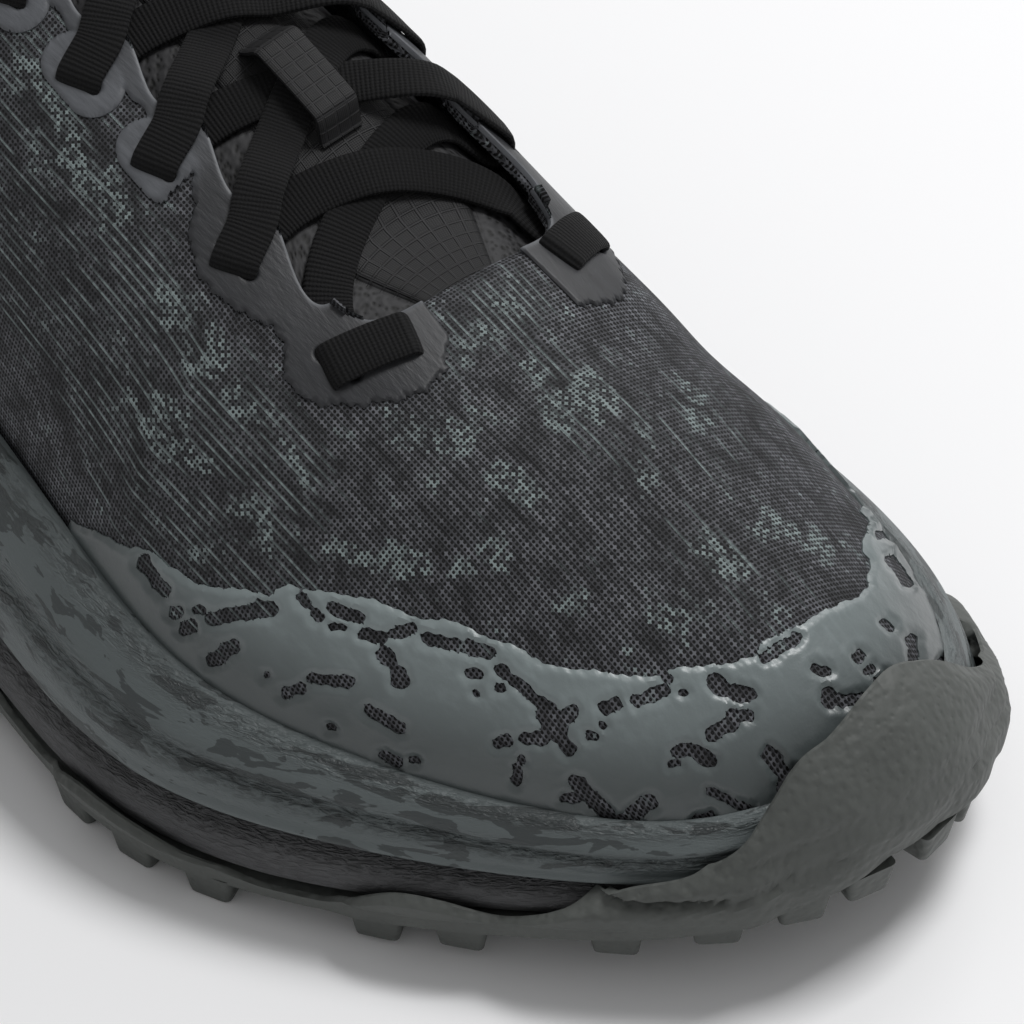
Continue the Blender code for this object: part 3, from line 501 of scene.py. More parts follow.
FLECK_CLUSTERS = (
    # photo pixels: middle, half length, half width, turn in degrees, strength
    (430, 432, 44, 16, 8, 0.75), (585, 396, 24, 14, 20, 1.0), (556, 418, 16, 10, 45, 0.8),
    (515, 486, 24, 12, 40, 0.9), (545, 372, 22, 8, 10, 0.6), (643, 476, 16, 10, 30, 0.8),
    (719, 557, 26, 10, 30, 1.0), (773, 528, 22, 8, -10, 0.8), (821, 542, 20, 7, 20, 0.6),
    (667, 623, 16, 10, 0, 0.9), (571, 604, 18, 9, -25, 0.8), (695, 601, 16, 6, 50, 0.7),
    (697, 408, 20, 8, 45, 0.7), (250, 521, 22, 10, 55, 0.8), (202, 557, 14, 8, 40, 0.6),
    (402, 563, 22, 14, 30, 1.0), (350, 556, 20, 8, 10, 0.8), (265, 545, 14, 6, 20, 0.5),
    (498, 556, 18, 8, 60, 0.8), (462, 570, 12, 6, 0, 0.6), (246, 404, 24, 12, 40, 0.7),
    (212, 466, 12, 8, 0, 0.5), (300, 470, 14, 6, 50, 0.5), (640, 430, 12, 5, 50, 0.6),
    (485, 320, 46, 22, -28, 0.4), (450, 366, 22, 10, -30, 0.4), (120, 60, 40, 22, 50, 0.5),
    (60, 120, 60, 26, 60, 0.6), (108, 190, 40, 20, 60, 0.6), (40, 60, 40, 20, 40, 0.4),
    (190, 330, 50, 20, 60, 0.6), (160, 420, 40, 22, 60, 0.6), (640, 560, 10, 6, 50, 0.4),
    (760, 600, 12, 5, 40, 0.4), (560, 640, 18, 6, 30, 0.4), (380, 480, 12, 5, 50, 0.4),
)
STREAK_AREAS = (
    # photo pixels: middle, half length, half width, turn in degrees, strength
    (110, 330, 330, 70, 62, 1.0), (60, 120, 160, 60, 62, 0.8), (230, 430, 120, 50, 55, 0.8),
    (600, 410, 60, 30, 50, 0.7), (480, 320, 50, 22, -28, 1.0), (690, 420, 60, 24, 48, 0.6),
    (730, 570, 60, 20, 40, 0.6), (250, 560, 80, 20, 20, 0.6),
)


def spline(values, at):
    """Closed cubic curve of even curvature through evenly spaced values, read at shares of the way round."""
    values = np.asarray(values, float)
    count = len(values)
    index = np.arange(count)
    matrix = np.zeros((count, count))
    matrix[index, index] = 4
    matrix[index, (index - 1) % count] = 1
    matrix[index, (index + 1) % count] = 1
    slope = np.linalg.solve(matrix, 3 * (np.roll(values, -1, 0) - np.roll(values, 1, 0)))
    place = np.mod(np.asarray(at, float), 1) * count
    left = np.floor(place).astype(int) % count
    right = (left + 1) % count
    t = (place - np.floor(place))[..., None]
    start = (1 + 2 * t) * (1 - t) ** 2 * values[left] + t * (1 - t) ** 2 * slope[left]
    return start + t**2 * (3 - 2 * t) * values[right] - t**2 * (1 - t) * slope[right]


def read(table, column, at):
    """Smooth reading of one column of a table over its first column."""
    rows = np.asarray(table, float)
    key, value = rows[:, 0], rows[:, column]
    slope = np.gradient(value, key)
    at = np.asarray(at, float)
    left = np.clip(np.searchsorted(key, at, side="right") - 1, 0, len(key) - 2)
    step = key[left + 1] - key[left]
    t = np.clip((at - key[left]) / step, 0, 1)
    start = (1 + 2 * t) * (1 - t) ** 2 * value[left] + t * (1 - t) ** 2 * step * slope[left]
    return start + t**2 * (3 - 2 * t) * value[left + 1] - t**2 * (1 - t) * step * slope[left + 1]


def straight(table, column, at):
    """Straight-line reading of one column of a table over its first column."""
    rows = np.asarray(table, float)
    return np.interp(at, rows[:, 0], rows[:, column])


def smooth(low, high, at):
    """Smooth step from 0 at low to 1 at high."""
    t = np.clip((np.asarray(at, float) - low) / (high - low), 0, 1)
    return t * t * (3 - 2 * t)


def bell(offset, width):
    """1 where the offset is 0, falling off on both sides of it."""
    return np.exp(-((offset / width) ** 2))


def run_length(points):
    """Length along a line of points, 0 at the first."""
    return np.cumsum(np.append(0, np.linalg.norm(np.diff(points, axis=0), axis=-1)))


def unit(vectors):
    """Vectors made one long."""
    return vectors / np.linalg.norm(vectors, axis=-1, keepdims=True)


def stacked(across, height):
    """Points from their places in plan and their heights."""
    height = np.broadcast_to(height, across.shape[:-1])
    return np.concatenate([across, height[..., None]], -1)


# Sole lines


def outline():
    """The sole's widest line in plan, a point a column: out along the lateral side, back by the medial."""
    rows = np.array(SOLE_PLAN)
    return np.vstack([rows[:, [0, 1]], rows[-2:0:-1, [0, 2]]]) * [SHOE_LENGTH, BALL_WIDTH]


def inward(around):
    """Level direction into the shoe, square to the outline."""
    around = np.asarray(around, float)
    step = 1e-4
    way = unit(spline(outline(), around + step) - spline(outline(), around - step))
    return np.stack([-way[..., 1], way[..., 0]], -1)


def plan(around, inset=0.0):
    """Point of the outline, moved in by the inset."""
    around = np.asarray(around, float)
    return spline(outline(), around) + inward(around) * np.broadcast_to(inset, around.shape)[..., None]


def along(around):
    """Share of the shoe's length at a place around it."""
    return np.clip(spline(outline(), around)[..., 0] / SHOE_LENGTH, 0, 1)


def spring(share):
    """Rise of the toe spring."""
    return TOE_SPRING * read(SOLE_HEIGHTS, 1, share)


def tread(share):
    """Height of the lugs' tips: level ground under the heel and the ball."""
    return np.maximum(spring(share) + ARCH_RISE * read(SOLE_HEIGHTS, 2, share) - LEVEL_BAND, 0)


def plate_top(share):
    """Height of the rubber plate's top."""
    return tread(share) + LUG_HEIGHT + PLATE_THICKNESS


def seam(share):
    """Height of the seam between the black and the grey layer."""
    return spring(share) + SIDE_HEIGHT * read(SOLE_HEIGHTS, 3, share)


def rim(share):
    """Height of the midsole's rim."""
    return spring(share) + SIDE_HEIGHT * read(SOLE_HEIGHTS, 4, share)


def bed(share):
    """Height of the foot bed."""
    return spring(share) + BED_HEIGHT * read(SOLE_HEIGHTS, 5, share)


def ledge(share):
    """Distance from the outline in to the foot of the upper."""
    return RIM_WIDTH * read(SOLE_HEIGHTS, 6, share)


def bumper_recess(around):
    """How far the foam draws back under the toe bumper."""
    column = np.mod(around, 1) * COLUMN_COUNT
    return RUBBER_SKIN * smooth(0.5, 0.85, straight(RUBBER_EDGE, 1, column))


# The upper's surface


def section(around):
    """Foot, wall pull, edge pull and edge of the upper's curve at a place around the shoe."""
    share = along(around)
    rows = spline(np.array(UPPER_SECTIONS)[:, 1:], around)
    foot = stacked(plan(around, ledge(share) + GAP), bed(share) + GAP)
    edge = rows[..., 0:3] * [SHOE_LENGTH, BALL_WIDTH, INSTEP_HEIGHT]
    out = stacked(-inward(around), 0.0)
    low = foot + WALL_RISE * (rows[..., 3:4] * [0, 0, 1] + rows[..., 4:5] * out)
    high = edge + rows[..., 5:8] * [SHOE_LENGTH, BALL_WIDTH, INSTEP_HEIGHT]
    return foot, low, high, edge


def wall_point(around, up):
    """Point on the upper's outer surface."""
    foot, low, high, edge = section(around)
    t = np.asarray(up, float)[..., None]
    return (1 - t) ** 3 * foot + 3 * t * (1 - t) ** 2 * low + 3 * t**2 * (1 - t) * high + t**3 * edge


def wall_normal(around, up):
    """Outward unit normal there."""
    step = 1e-3
    around_way = wall_point(around + step, up) - wall_point(around - step, up)
    up_way = wall_point(around, np.minimum(up + step, 1)) - wall_point(around, np.maximum(up - step, 0))
    return unit(np.cross(around_way, up_way))


def upper(around, up, lift=0.0):
    """Point of the upper's outer face, moved out by the lift."""
    around, up = np.broadcast_arrays(np.asarray(around, float), np.asarray(up, float))
    lift = np.broadcast_to(lift, around.shape)[..., None]
    return wall_point(around, up) + wall_normal(around, up) * lift


def wall(around, up):
    """Thickness of the upper: a thin wall, padded around the collar and rounded off at its top."""
    column = np.mod(around, 1) * COLUMN_COUNT
    collar = 1 - smooth(3.8, 4.7, np.minimum(column, COLUMN_COUNT - column))
    padding = smooth(0.45, 0.75, up) * (1 - 0.75 * smooth(0.86, 1.0, up))
    return UPPER_WALL + COLLAR_PADDING * collar * padding


def up_from_edge(around, distance):
    """Height up the wall that lies a distance in from the throat's edge."""
    _, _, high, edge = section(around)
    return 1 - distance / (3 * np.linalg.norm(edge - high, axis=-1))


def up_at_height(around, height):
    """Height up the wall, as a share, where the upper's outer face reaches a height over the floor."""
    steps = np.linspace(0, 0.6, 61)
    levels = wall_point(*np.meshgrid(around, steps, indexing="ij"))[..., 2]
    return np.array([np.interp(h, level, steps) for h, level in zip(height, levels)])


# The throat


def throat_around(x, side):
    """Place around the shoe where the throat's edge on one side lies at x."""
    steps = np.linspace(THROAT_FIRST, THROAT_LAST, 200) / COLUMN_COUNT
    steps = steps if side == LATERAL else 1 - steps
    return np.interp(x, section(steps)[3][:, 0], steps)


def throat_point(x, side, distance, lift):
    """Point on the throat's edge."""
    around = throat_around(x, side)
    return upper(around, up_from_edge(around, distance), lift)


def saddle(x, across):
    """Top of the tongue: a crowned bridge between the throat's edges at -1 and 1, and beyond them a sheet
    under the upper's wall, as far in from the edge as across passes 1, in shares of TONGUE_UNDERLAP."""
    x, across = np.broadcast_arrays(np.asarray(x, float), np.asarray(across, float))
    depth = -(UPPER_WALL + TONGUE_GAP)
    step = 0.001
    start = throat_point(x, LATERAL, 0.0, depth)
    end = throat_point(x, MEDIAL, 0.0, depth)
    pull = np.linalg.norm(end - start, axis=-1, keepdims=True) * TONGUE_CROWN
    start_way = unit(start - throat_point(x, LATERAL, step, depth)) * pull
    end_way = unit(throat_point(x, MEDIAL, step, depth) - end) * pull
    t = np.clip((across + 1) / 2, 0, 1)[..., None]
    bridge = (1 + 2 * t) * (1 - t) ** 2 * start + t * (1 - t) ** 2 * start_way
    bridge = bridge + t**2 * (3 - 2 * t) * end - t**2 * (1 - t) * end_way
    under = np.maximum(np.abs(across) - 1, 0) * TONGUE_UNDERLAP
    beyond = np.where((across < 0)[..., None], throat_point(x, LATERAL, under, depth),
                      throat_point(x, MEDIAL, under, depth))
    return np.where((np.abs(across) <= 1)[..., None], bridge, beyond)


def throat_front():
    """X of the throat's front end."""
    return section(np.array([0.5]))[3][0, 0]


def throat_back():
    """X of the corner where the throat's edge turns into the collar."""
    return section(np.array([COLLAR_CORNER / COLUMN_COUNT]))[3][0, 0]


def slot_places():
    """X of the lace slots, evenly spaced from behind the throat's front to ahead of the collar's corner."""
    return np.linspace(throat_front() - SLOT_FRONT_SETBACK, throat_back() + SLOT_BACK_SETBACK, SLOT_COUNT)


# The photo's camera, as seen from the heel's place

CAMERA_AZIMUTH = 48.0
CAMERA_ELEVATION = 44.0
CAMERA_DISTANCE = 0.9
CAMERA_LENS = 221.484
CAMERA_SENSOR = 36.0
CAMERA_TARGET = (0.22578, 0.00389, 0.02824)
PHOTO_WIDTH = 1024
PIXEL = CAMERA_DISTANCE * CAMERA_SENSOR / CAMERA_LENS / PHOTO_WIDTH


def camera_axes():
    """Unit vectors from the target to the camera, to the picture's right and up it."""
    turn, tilt = np.radians(CAMERA_AZIMUTH), np.radians(CAMERA_ELEVATION)
    back = np.array([np.sin(turn) * np.cos(tilt), -np.cos(turn) * np.cos(tilt), np.sin(tilt)])
    right = np.array([np.cos(turn), np.sin(turn), 0.0])
    return back, right, np.cross(back, right)


def photo_pixels(points):
    """Where points fall in the photograph, by a pinhole camera, in pixels from its top left corner."""
    back, right, up = camera_axes()
    offset = points - (np.array(CAMERA_TARGET) + back * CAMERA_DISTANCE)
    scale = CAMERA_LENS / CAMERA_SENSOR * PHOTO_WIDTH / -(offset @ back)
    middle = PHOTO_WIDTH / 2
    return np.stack([middle + scale * (offset @ right), middle - scale * (offset @ up)], -1)


def facing(normals):
    """1 where a surface faces the photo's camera, 0 where it is turned away."""
    return smooth(0.02, 0.12, normals @ camera_axes()[0])


def wobble(pixels, reach):
    """Pixels moved about by crossed waves, so that cut edges look torn."""
    x, y = pixels[..., 0], pixels[..., 1]
    shifts = [sum(strength * np.sin(right * x + down * y + phase) for right, down, phase, strength in waves)
              for waves in TORN_WAVES]
    return pixels + np.stack(shifts, -1) * reach


def blob_distance(pixels, rows):
    """Distance outside the nearest of some rounded bars, each a row of middle, half length, half width and
    turn in degrees: distance to the bar's middle line less its half width."""
    nearest = np.full(pixels.shape[:-1], 1e3)
    for x, y, length, width, turn in rows:
        angle = np.radians(turn)
        way = np.array([np.cos(angle), np.sin(angle)])
        offset = pixels - [x, y]
        reach = max(length - width, 0)
        run = np.clip(offset @ way, -reach, reach)
        nearest = np.minimum(nearest, np.linalg.norm(offset - run[..., None] * way, axis=-1) - width)
    return nearest


def polygon_distance(pixels, corners):
    """Distance inside a closed outline, negative outside: nearest side, signed by an even-odd ray test."""
    corners = np.asarray(corners, float)
    nearest = np.full(pixels.shape[:-1], 1e6)
    inside = np.zeros(pixels.shape[:-1], bool)
    x, y = pixels[..., 0], pixels[..., 1]
    for start, end in zip(corners, np.roll(corners, -1, 0)):
        side = end - start
        offset = pixels - start
        share = np.clip(offset @ side / (side @ side), 0, 1)
        nearest = np.minimum(nearest, np.linalg.norm(offset - share[..., None] * side, axis=-1))
        if start[1] != end[1]:
            crosses = (start[1] > y) != (end[1] > y)
            inside ^= crosses & (x < start[0] + (y - start[1]) * side[0] / side[1])
    return np.where(inside, nearest, -nearest)


# Meshes


def fine_places(count):
    """Places around the shoe, evenly numbered and drawn together at the toe by the drift."""
    even = np.arange(count) / count
    return even + FINE_DRIFT * np.sin(2 * np.pi * even) / (2 * np.pi)


def grid_normals(grid):
    """Unit normals of a grid of points whose rows climb and whose columns run on around the shoe."""
    row_way = np.gradient(grid, axis=0)
    column_way = np.gradient(grid, axis=1)
    return unit(np.cross(column_way, row_way))


def quads(rows, columns, closed=False):
    """Faces of a grid of points, which may be closed in its columns."""
    steps_up, steps_round = np.arange(rows - 1), np.arange(columns - (not closed))
    row, column = np.meshgrid(steps_up, steps_round, indexing="ij")
    above = row + 1
    beside = (column + 1) % columns
    corners = [row * columns + column, row * columns + beside, above * columns + beside,
               above * columns + column]
    return np.stack(corners, -1).reshape(-1, 4)


def rim_faces(faces, count):
    """Side faces between a sheet and its copy, count points on: one for each edge that only one face has."""
    edges = np.concatenate([np.stack([face, np.roll(face, -1, 1)], -1).reshape(-1, 2) for face in faces])
    key, back = edges @ [2 * count, 1], edges[:, ::-1] @ [2 * count, 1]
    start, end = edges[~np.isin(key, back)].T
    return np.stack([end, start, start + count, end + count], -1)


def cut_sheet(outer, inner, depth):
    """Points and faces of a sheet between two grids, kept where the depth grid is over 0, and for each point
    the number of its grid point. Points within about half a cell of the zero line are moved onto it first,
    along the depth's slope, so that its edges and holes run smoothly; a cell with one corner outside keeps
    the other three."""
    row_slope, column_slope = np.gradient(depth)
    slope = row_slope**2 + column_slope**2 + 1e-12
    near = np.abs(depth) < 0.6 * np.sqrt(slope)
    row_step = np.where(near, -depth * row_slope / slope, 0)[..., None]
    column_step = np.where(near, -depth * column_slope / slope, 0)[..., None]
    grids = []
    for grid in (outer, inner):
        rows_way, columns_way = np.gradient(grid, axis=0), np.gradient(grid, axis=1)
        grids.append((grid + rows_way * row_step + columns_way * column_step).reshape(-1, 3))
    kept = (near | (depth > 0)).ravel()
    cells = quads(*depth.shape)
    hits = kept[cells].sum(1)
    solid = depth.ravel()[cells].mean(1) > 0
    whole = cells[(hits == 4) & solid]
    corner = cells[(hits == 3) & solid]
    missing = np.argmin(kept[corner], axis=1)
    order = (missing[:, None] + [1, 2, 3]) % 4
    corner = np.take_along_axis(corner, order, 1)
    used, renumbered = np.unique(np.concatenate([whole.ravel(), corner.ravel()]), return_inverse=True)
    count = len(used)
    whole = renumbered[: whole.size].reshape(-1, 4)
    corner = renumbered[whole.size:].reshape(-1, 3)
    faces = [whole, corner, whole[:, ::-1] + count, corner[:, ::-1] + count,
             rim_faces([whole, corner], count)]
    return np.concatenate([grids[0][used], grids[1][used]]), faces, np.concatenate([used, used])


def ring_body(rings):
    """Points and faces of a body through closed rings, from its underside out, up and in to its top, with
    each end closed by a strip from side to side."""
    count, columns = rings.shape[:2]
    half = np.arange(1, columns // 2)
    strip = np.stack([half, half + 1, columns - half - 1, columns - half], -1)[:-1]
    tips = np.array([[0, 1, columns - 1], [columns // 2, columns // 2 + 1, columns // 2 - 1]])
    last = (count - 1) * columns
    faces = [quads(count, columns, closed=True), strip[:, ::-1], tips[:, ::-1], strip + last, tips + last]
    return rings.reshape(-1, 3), faces


def tube(sections):
    """Points and faces of a closed tube through loops of points, with a fan in each end."""
    count, around = sections.shape[:2]
    points = np.concatenate([sections.reshape(-1, 3), sections[:1].mean(1), sections[-1:].mean(1)])
    loop = np.arange(around)
    after = (loop + 1) % around
    start = np.stack([after, loop, np.full(around, count * around)], -1)
    last = (count - 1) * around
    end = np.stack([loop + last, after + last, np.full(around, count * around + 1)], -1)
    return points, [quads(count, around, closed=True), start, end]


def joined(bodies):
    """Points and faces of several bodies in one mesh."""
    points, faces, start = [], [], 0
    for body_points, body_faces in bodies:
        points.append(body_points)
        faces += [face + start for face in body_faces]
        start += len(body_points)
    return np.concatenate(points), faces


def new_mesh(name, points, faces, fabric=None, marks=None):
    """Mesh from points and lists of faces, with a UV map of fabric lengths and named values at points."""
    mesh = bpy.data.meshes.new(name)
    corners = np.concatenate([face.ravel() for face in faces]).astype(np.int32)
    sizes = np.concatenate([np.full(len(face), face.shape[1]) for face in faces])
    mesh.vertices.add(len(points))
    mesh.vertices.foreach_set("co", np.asarray(points, np.float32).ravel())
    mesh.loops.add(len(corners))
    mesh.loops.foreach_set("vertex_index", corners)
    mesh.polygons.add(len(sizes))
    mesh.polygons.foreach_set("loop_start", np.append(0, np.cumsum(sizes)[:-1]).astype(np.int32))
    mesh.update(calc_edges=True)
    if fabric is not None:
        layer = mesh.uv_layers.new(name="fabric")
        layer.data.foreach_set("uv", np.asarray(fabric, np.float32)[corners].ravel())
    for label, values in (marks or {}).items():
        layer = mesh.attributes.new(label, "FLOAT", "POINT")
        layer.data.foreach_set("value", np.asarray(values, np.float32).ravel())
    return mesh


def frame_shift():
    """Step from the modelling place to the frame: the insole's box there less its box here."""
    even = np.arange(COLUMNS) / COLUMNS
    around = even + COLUMN_DRIFT * np.sin(2 * np.pi * even) / (2 * np.pi)
    low = insole_rings(around, (0.0, 0.7, 1.0)).min((0, 1))
    return np.array(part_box("insole")[0]) - low


def add_piece(name, body, finish, nodes=(), fabric=None, marks=None, sharp=35.0):
    """New object in the frame that rides on the shoe and stands for the named nodes."""
    points, faces = body
    mesh = new_mesh(name, points + SHIFT, faces, fabric, marks)
    mesh.materials.append(finish)
    mesh.shade_smooth()
    mesh.set_sharp_from_angle(angle=np.radians(sharp))
    made = bpy.data.objects.new(name, mesh)
    bpy.context.scene.collection.objects.link(made)
    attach(made, BODY)
    if nodes:
        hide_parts(*nodes)
    return made


# Materials


class Shader:
    """Builds one material's nodes, each call making a node and giving its output."""

    def __init__(self, name):
        self.material = bpy.data.materials.new(name)
        self.material.use_nodes = True
        self.tree = self.material.node_tree
        self.surface = self.tree.nodes["Principled BSDF"]

    def put(self, node, socket, value):
        """Links an output to a socket, or sets its value."""
        if isinstance(value, bpy.types.NodeSocket):
            self.tree.links.new(value, node.inputs[socket])
        else:
            node.inputs[socket].default_value = value

    def add(self, kind, inputs, output=0, **settings):
        """One node with its inputs and settings."""
        node = self.tree.nodes.new("ShaderNode" + kind)
        for key, value in settings.items():
            setattr(node, key, value)
        for socket, value in inputs.items():
            self.put(node, socket, value)
        return node.outputs[output]

    def sum(self, operation, *values):
        """One step of arithmetic on up to three numbers."""
        return self.add("Math", dict(enumerate(values)), operation=operation)

    def times(self, first, second):
        """Product of two numbers."""
        return self.sum("MULTIPLY", first, second)

    def step(self, value, low, high):
        """0 under low, 1 over high and smooth between."""
        inputs = {"Value": value, "From Min": low, "From Max": high}
        return self.add("MapRange", inputs, interpolation_type="SMOOTHSTEP")

    def mix(self, share, first, second):
        """Between two colours."""
        return self.add("Mix", {0: share, 6: first, 7: second}, output=2, data_type="RGBA")

    def blend(self, share, first, second):
        """Between two numbers."""
        return self.add("Mix", {0: share, 2: first, 3: second}, output=0, data_type="FLOAT")

    def place(self, scale=(1, 1, 1)):
        """Place on the object, in metres, stretched by the scale."""
        where = self.add("TexCoord", {}, output=3)
        return self.add("Mapping", {"Vector": where, "Scale": scale})

    def fabric(self):
        """Lengths along and across the cloth, in metres."""
        where = self.add("UVMap", {}, uv_map="fabric")
        split = self.tree.nodes.new("ShaderNodeSeparateXYZ")
        self.put(split, 0, where)
        return split.outputs[0], split.outputs[1]

    def mark(self, name):
        """A value that the mesh holds at its points."""
        return self.add("Attribute", {}, output=2, attribute_name=name)

    def noise(self, where, scale, detail=3.0, roughness=0.55, distortion=0.0):
        """Cloudy noise, a half on average."""
        inputs = {"Vector": where, "Scale": scale, "Detail": detail, "Roughness": roughness,
                  "Distortion": distortion}
        return self.add("TexNoise", inputs)

    def wave(self, value, pitch):
        """Even wave from 0 to 1 with one crest a pitch."""
        turn = self.times(value, 2 * np.pi / pitch)
        return self.sum("MULTIPLY_ADD", self.sum("SINE", turn), 0.5, 0.5)

    def pair(self, x, y):
        """A flat place from two lengths."""
        return self.add("CombineXYZ", {0: x, 1: y})

    def bump(self, height, distance, before=None):
        """Normal tilted by a height, which the distance scales, on top of the normal before it."""
        inputs = {"Height": height, "Distance": distance, "Strength": 1.0}
        if before is not None:
            inputs["Normal"] = before
        return self.add("Bump", inputs)

    def tones(self, share, colour, first, second):
        """Between two brightnesses of one colour."""
        return self.mix(share, shade(colour, first), shade(colour, second))

    def finish(self, colour, roughness, normal=None, specular=0.4, coat=0.0, sheen=0.0):
        """The material, with its surface set."""
        self.put(self.surface, "Base Color", colour)
        self.put(self.surface, "Roughness", roughness)
        self.surface.inputs["Specular IOR Level"].default_value = specular
        self.surface.inputs["Coat Weight"].default_value = coat
        self.surface.inputs["Coat Roughness"].default_value = COAT_ROUGHNESS
        self.surface.inputs["Sheen Weight"].default_value = sheen
        self.surface.inputs["Sheen Roughness"].default_value = SHEEN_ROUGHNESS
        if normal is not None:
            self.put(self.surface, "Normal", normal)
        return self.material


def paint(colour):
    """A colour with full cover."""
    return (*colour, 1.0)


def shade(colour, factor):
    """A colour made lighter or darker."""
    return (*(factor * value for value in colour), 1.0)


def knit_material(looks):
    """Black woven mesh: a square net of threads round dark holes, with a furrow every second cell, drawn
    darker as painted shade. Whole cells turn pale in clusters, and single ribs carry long pale dashes where
    the streak mark is high."""
    shader = Shader("knit")
    along, across = shader.fabric()
    cell = looks.stitch_pitch
    hole = shader.times(shader.wave(along, cell), shader.wave(across, cell))
    hole = shader.step(hole, 0.10, 0.46)
    thread = shader.sum("SUBTRACT", 1.0, hole)
    column = shader.sum("FLOOR", shader.sum("MULTIPLY_ADD", along, 1 / cell, -0.25))
    row = shader.sum("FLOOR", shader.sum("MULTIPLY_ADD", across, 1 / cell, -0.25))
    chance = shader.add("TexWhiteNoise", {"Vector": shader.pair(column, row)}, noise_dimensions="2D")
    grain = cell / looks.fleck_size
    cells = shader.pair(shader.times(column, 0.62), row)
    patch = shader.noise(cells, scale=grain, detail=3.0, roughness=0.6, distortion=0.3)
    fleck, streak = shader.mark("fleck"), shader.mark("streak")
    cluster = shader.step(shader.sum("MULTIPLY_ADD", fleck, 0.27, patch), 0.59, 0.72)
    picked = shader.times(cluster, shader.step(chance, 0.10, 0.75))
    picked = shader.sum("MAXIMUM", picked, shader.step(chance, 0.990, 1.02))
    line = shader.sum("FLOOR", shader.times(across, 1 / looks.rib_pitch))
    rib = shader.step(shader.wave(across, looks.rib_pitch), 0.80, 0.97)
    dash_run = shader.times(along, 1 / looks.dash_length)
    dash_place = shader.pair(dash_run, shader.times(line, 7.31))
    dash = shader.noise(dash_place, scale=1.0, detail=2.0, roughness=0.6)
    dashed = shader.step(shader.sum("MULTIPLY_ADD", streak, 0.20, dash), 0.60, 0.78)
    pale = shader.sum("MAXIMUM", shader.times(picked, thread), shader.times(dashed, rib))
    furrow = shader.times(rib, shader.sum("MULTIPLY_ADD", streak, -0.6, 0.6))
    tone = shader.sum("MULTIPLY_ADD", chance, 0.8, 0.2)
    tone = shader.times(shader.step(patch, 0.28, 0.62), tone)
    lit = shader.tones(tone, looks.knit_colour, 1.6, 8.8)
    ground = shader.mix(hole, lit, shade(looks.knit_colour, 0.06))
    ground = shader.mix(shader.times(streak, 0.45), ground, shade(looks.knit_colour, 0.5))
    # Painted shade: the furrows drawn darker, less so where the streak mark is high
    ground = shader.mix(furrow, ground, shade(looks.knit_colour, 0.4))
    yarn = shader.tones(chance, looks.fleck_colour, 0.65, 1.45)
    colour = shader.mix(shader.times(pale, 0.9), ground, yarn)
    height = shader.sum("MULTIPLY_ADD", furrow, -0.8, thread)
    normal = shader.bump(height, distance=0.00016)
    return shader.finish(colour, roughness=0.75, normal=normal, specular=0.30)


def film_material(name, colour):
    """Smooth satin film, a little uneven and faintly brushed across, with a painted highlight along its
    raised edges and painted shade low down, where the low mark is high.
    """
    shader = Shader(name)
    where = shader.place()
    cloud = shader.noise(where, scale=90.0, detail=4.0)
    brushed = shader.noise(shader.place((0.22, 1.0, 0.6)), scale=700.0, detail=3.0)
    edge = shader.mark("edge")
    base = shader.tones(cloud, colour, 0.80, 1.18)
    brushed = shader.times(shader.step(brushed, 0.45, 0.8), 0.25)
    base = shader.mix(brushed, base, shade(colour, 1.7))
    # Painted highlight along the raised edges, where the edge mark is high
    base = shader.mix(shader.times(edge, 0.10), base, shade(colour, 1.8))
    # Painted shade, darker low on the film where the low mark is high
    low = shader.times(shader.mark("low"), 0.92)
    base = shader.mix(low, base, shade(colour, 0.30))
    normal = shader.bump(shader.noise(where, scale=2600.0, detail=2.0), distance=0.00003)
    normal = shader.bump(cloud, distance=0.0005, before=normal)
    roughness = shader.blend(cloud, 0.30, 0.44)
    return shader.finish(base, roughness, normal, specular=0.5, coat=0.15)


def stay_material(looks):
    """Dark film of the eyestays, brushed with fine slanting scratches, paler in its rings and raw edges."""
    shader = Shader("stay_film")
    turned = {"Vector": shader.place(), "Rotation": (0.0, 0.0, 0.9), "Scale": (0.12, 1.3, 1.0)}
    turned = shader.add("Mapping", turned)
    brushed = shader.noise(turned, scale=700.0, detail=4.0, roughness=0.65)
    cloud = shader.noise(shader.place(), scale=160.0, detail=3.0)
    edge, ring = shader.mark("edge"), shader.mark("ring")
    base = shader.tones(brushed, looks.stay_colour, 0.5, 1.5)
    pale = shader.tones(brushed, looks.ring_colour, 0.55, 1.5)
    base = shader.mix(ring, base, pale)
    base = shader.mix(shader.times(edge, 0.70), base, shade(looks.ring_colour, 1.4))
    normal = shader.bump(brushed, distance=0.00012)
    roughness = shader.blend(cloud, 0.40, 0.58)
    return shader.finish(base, roughness, normal, specular=0.4)


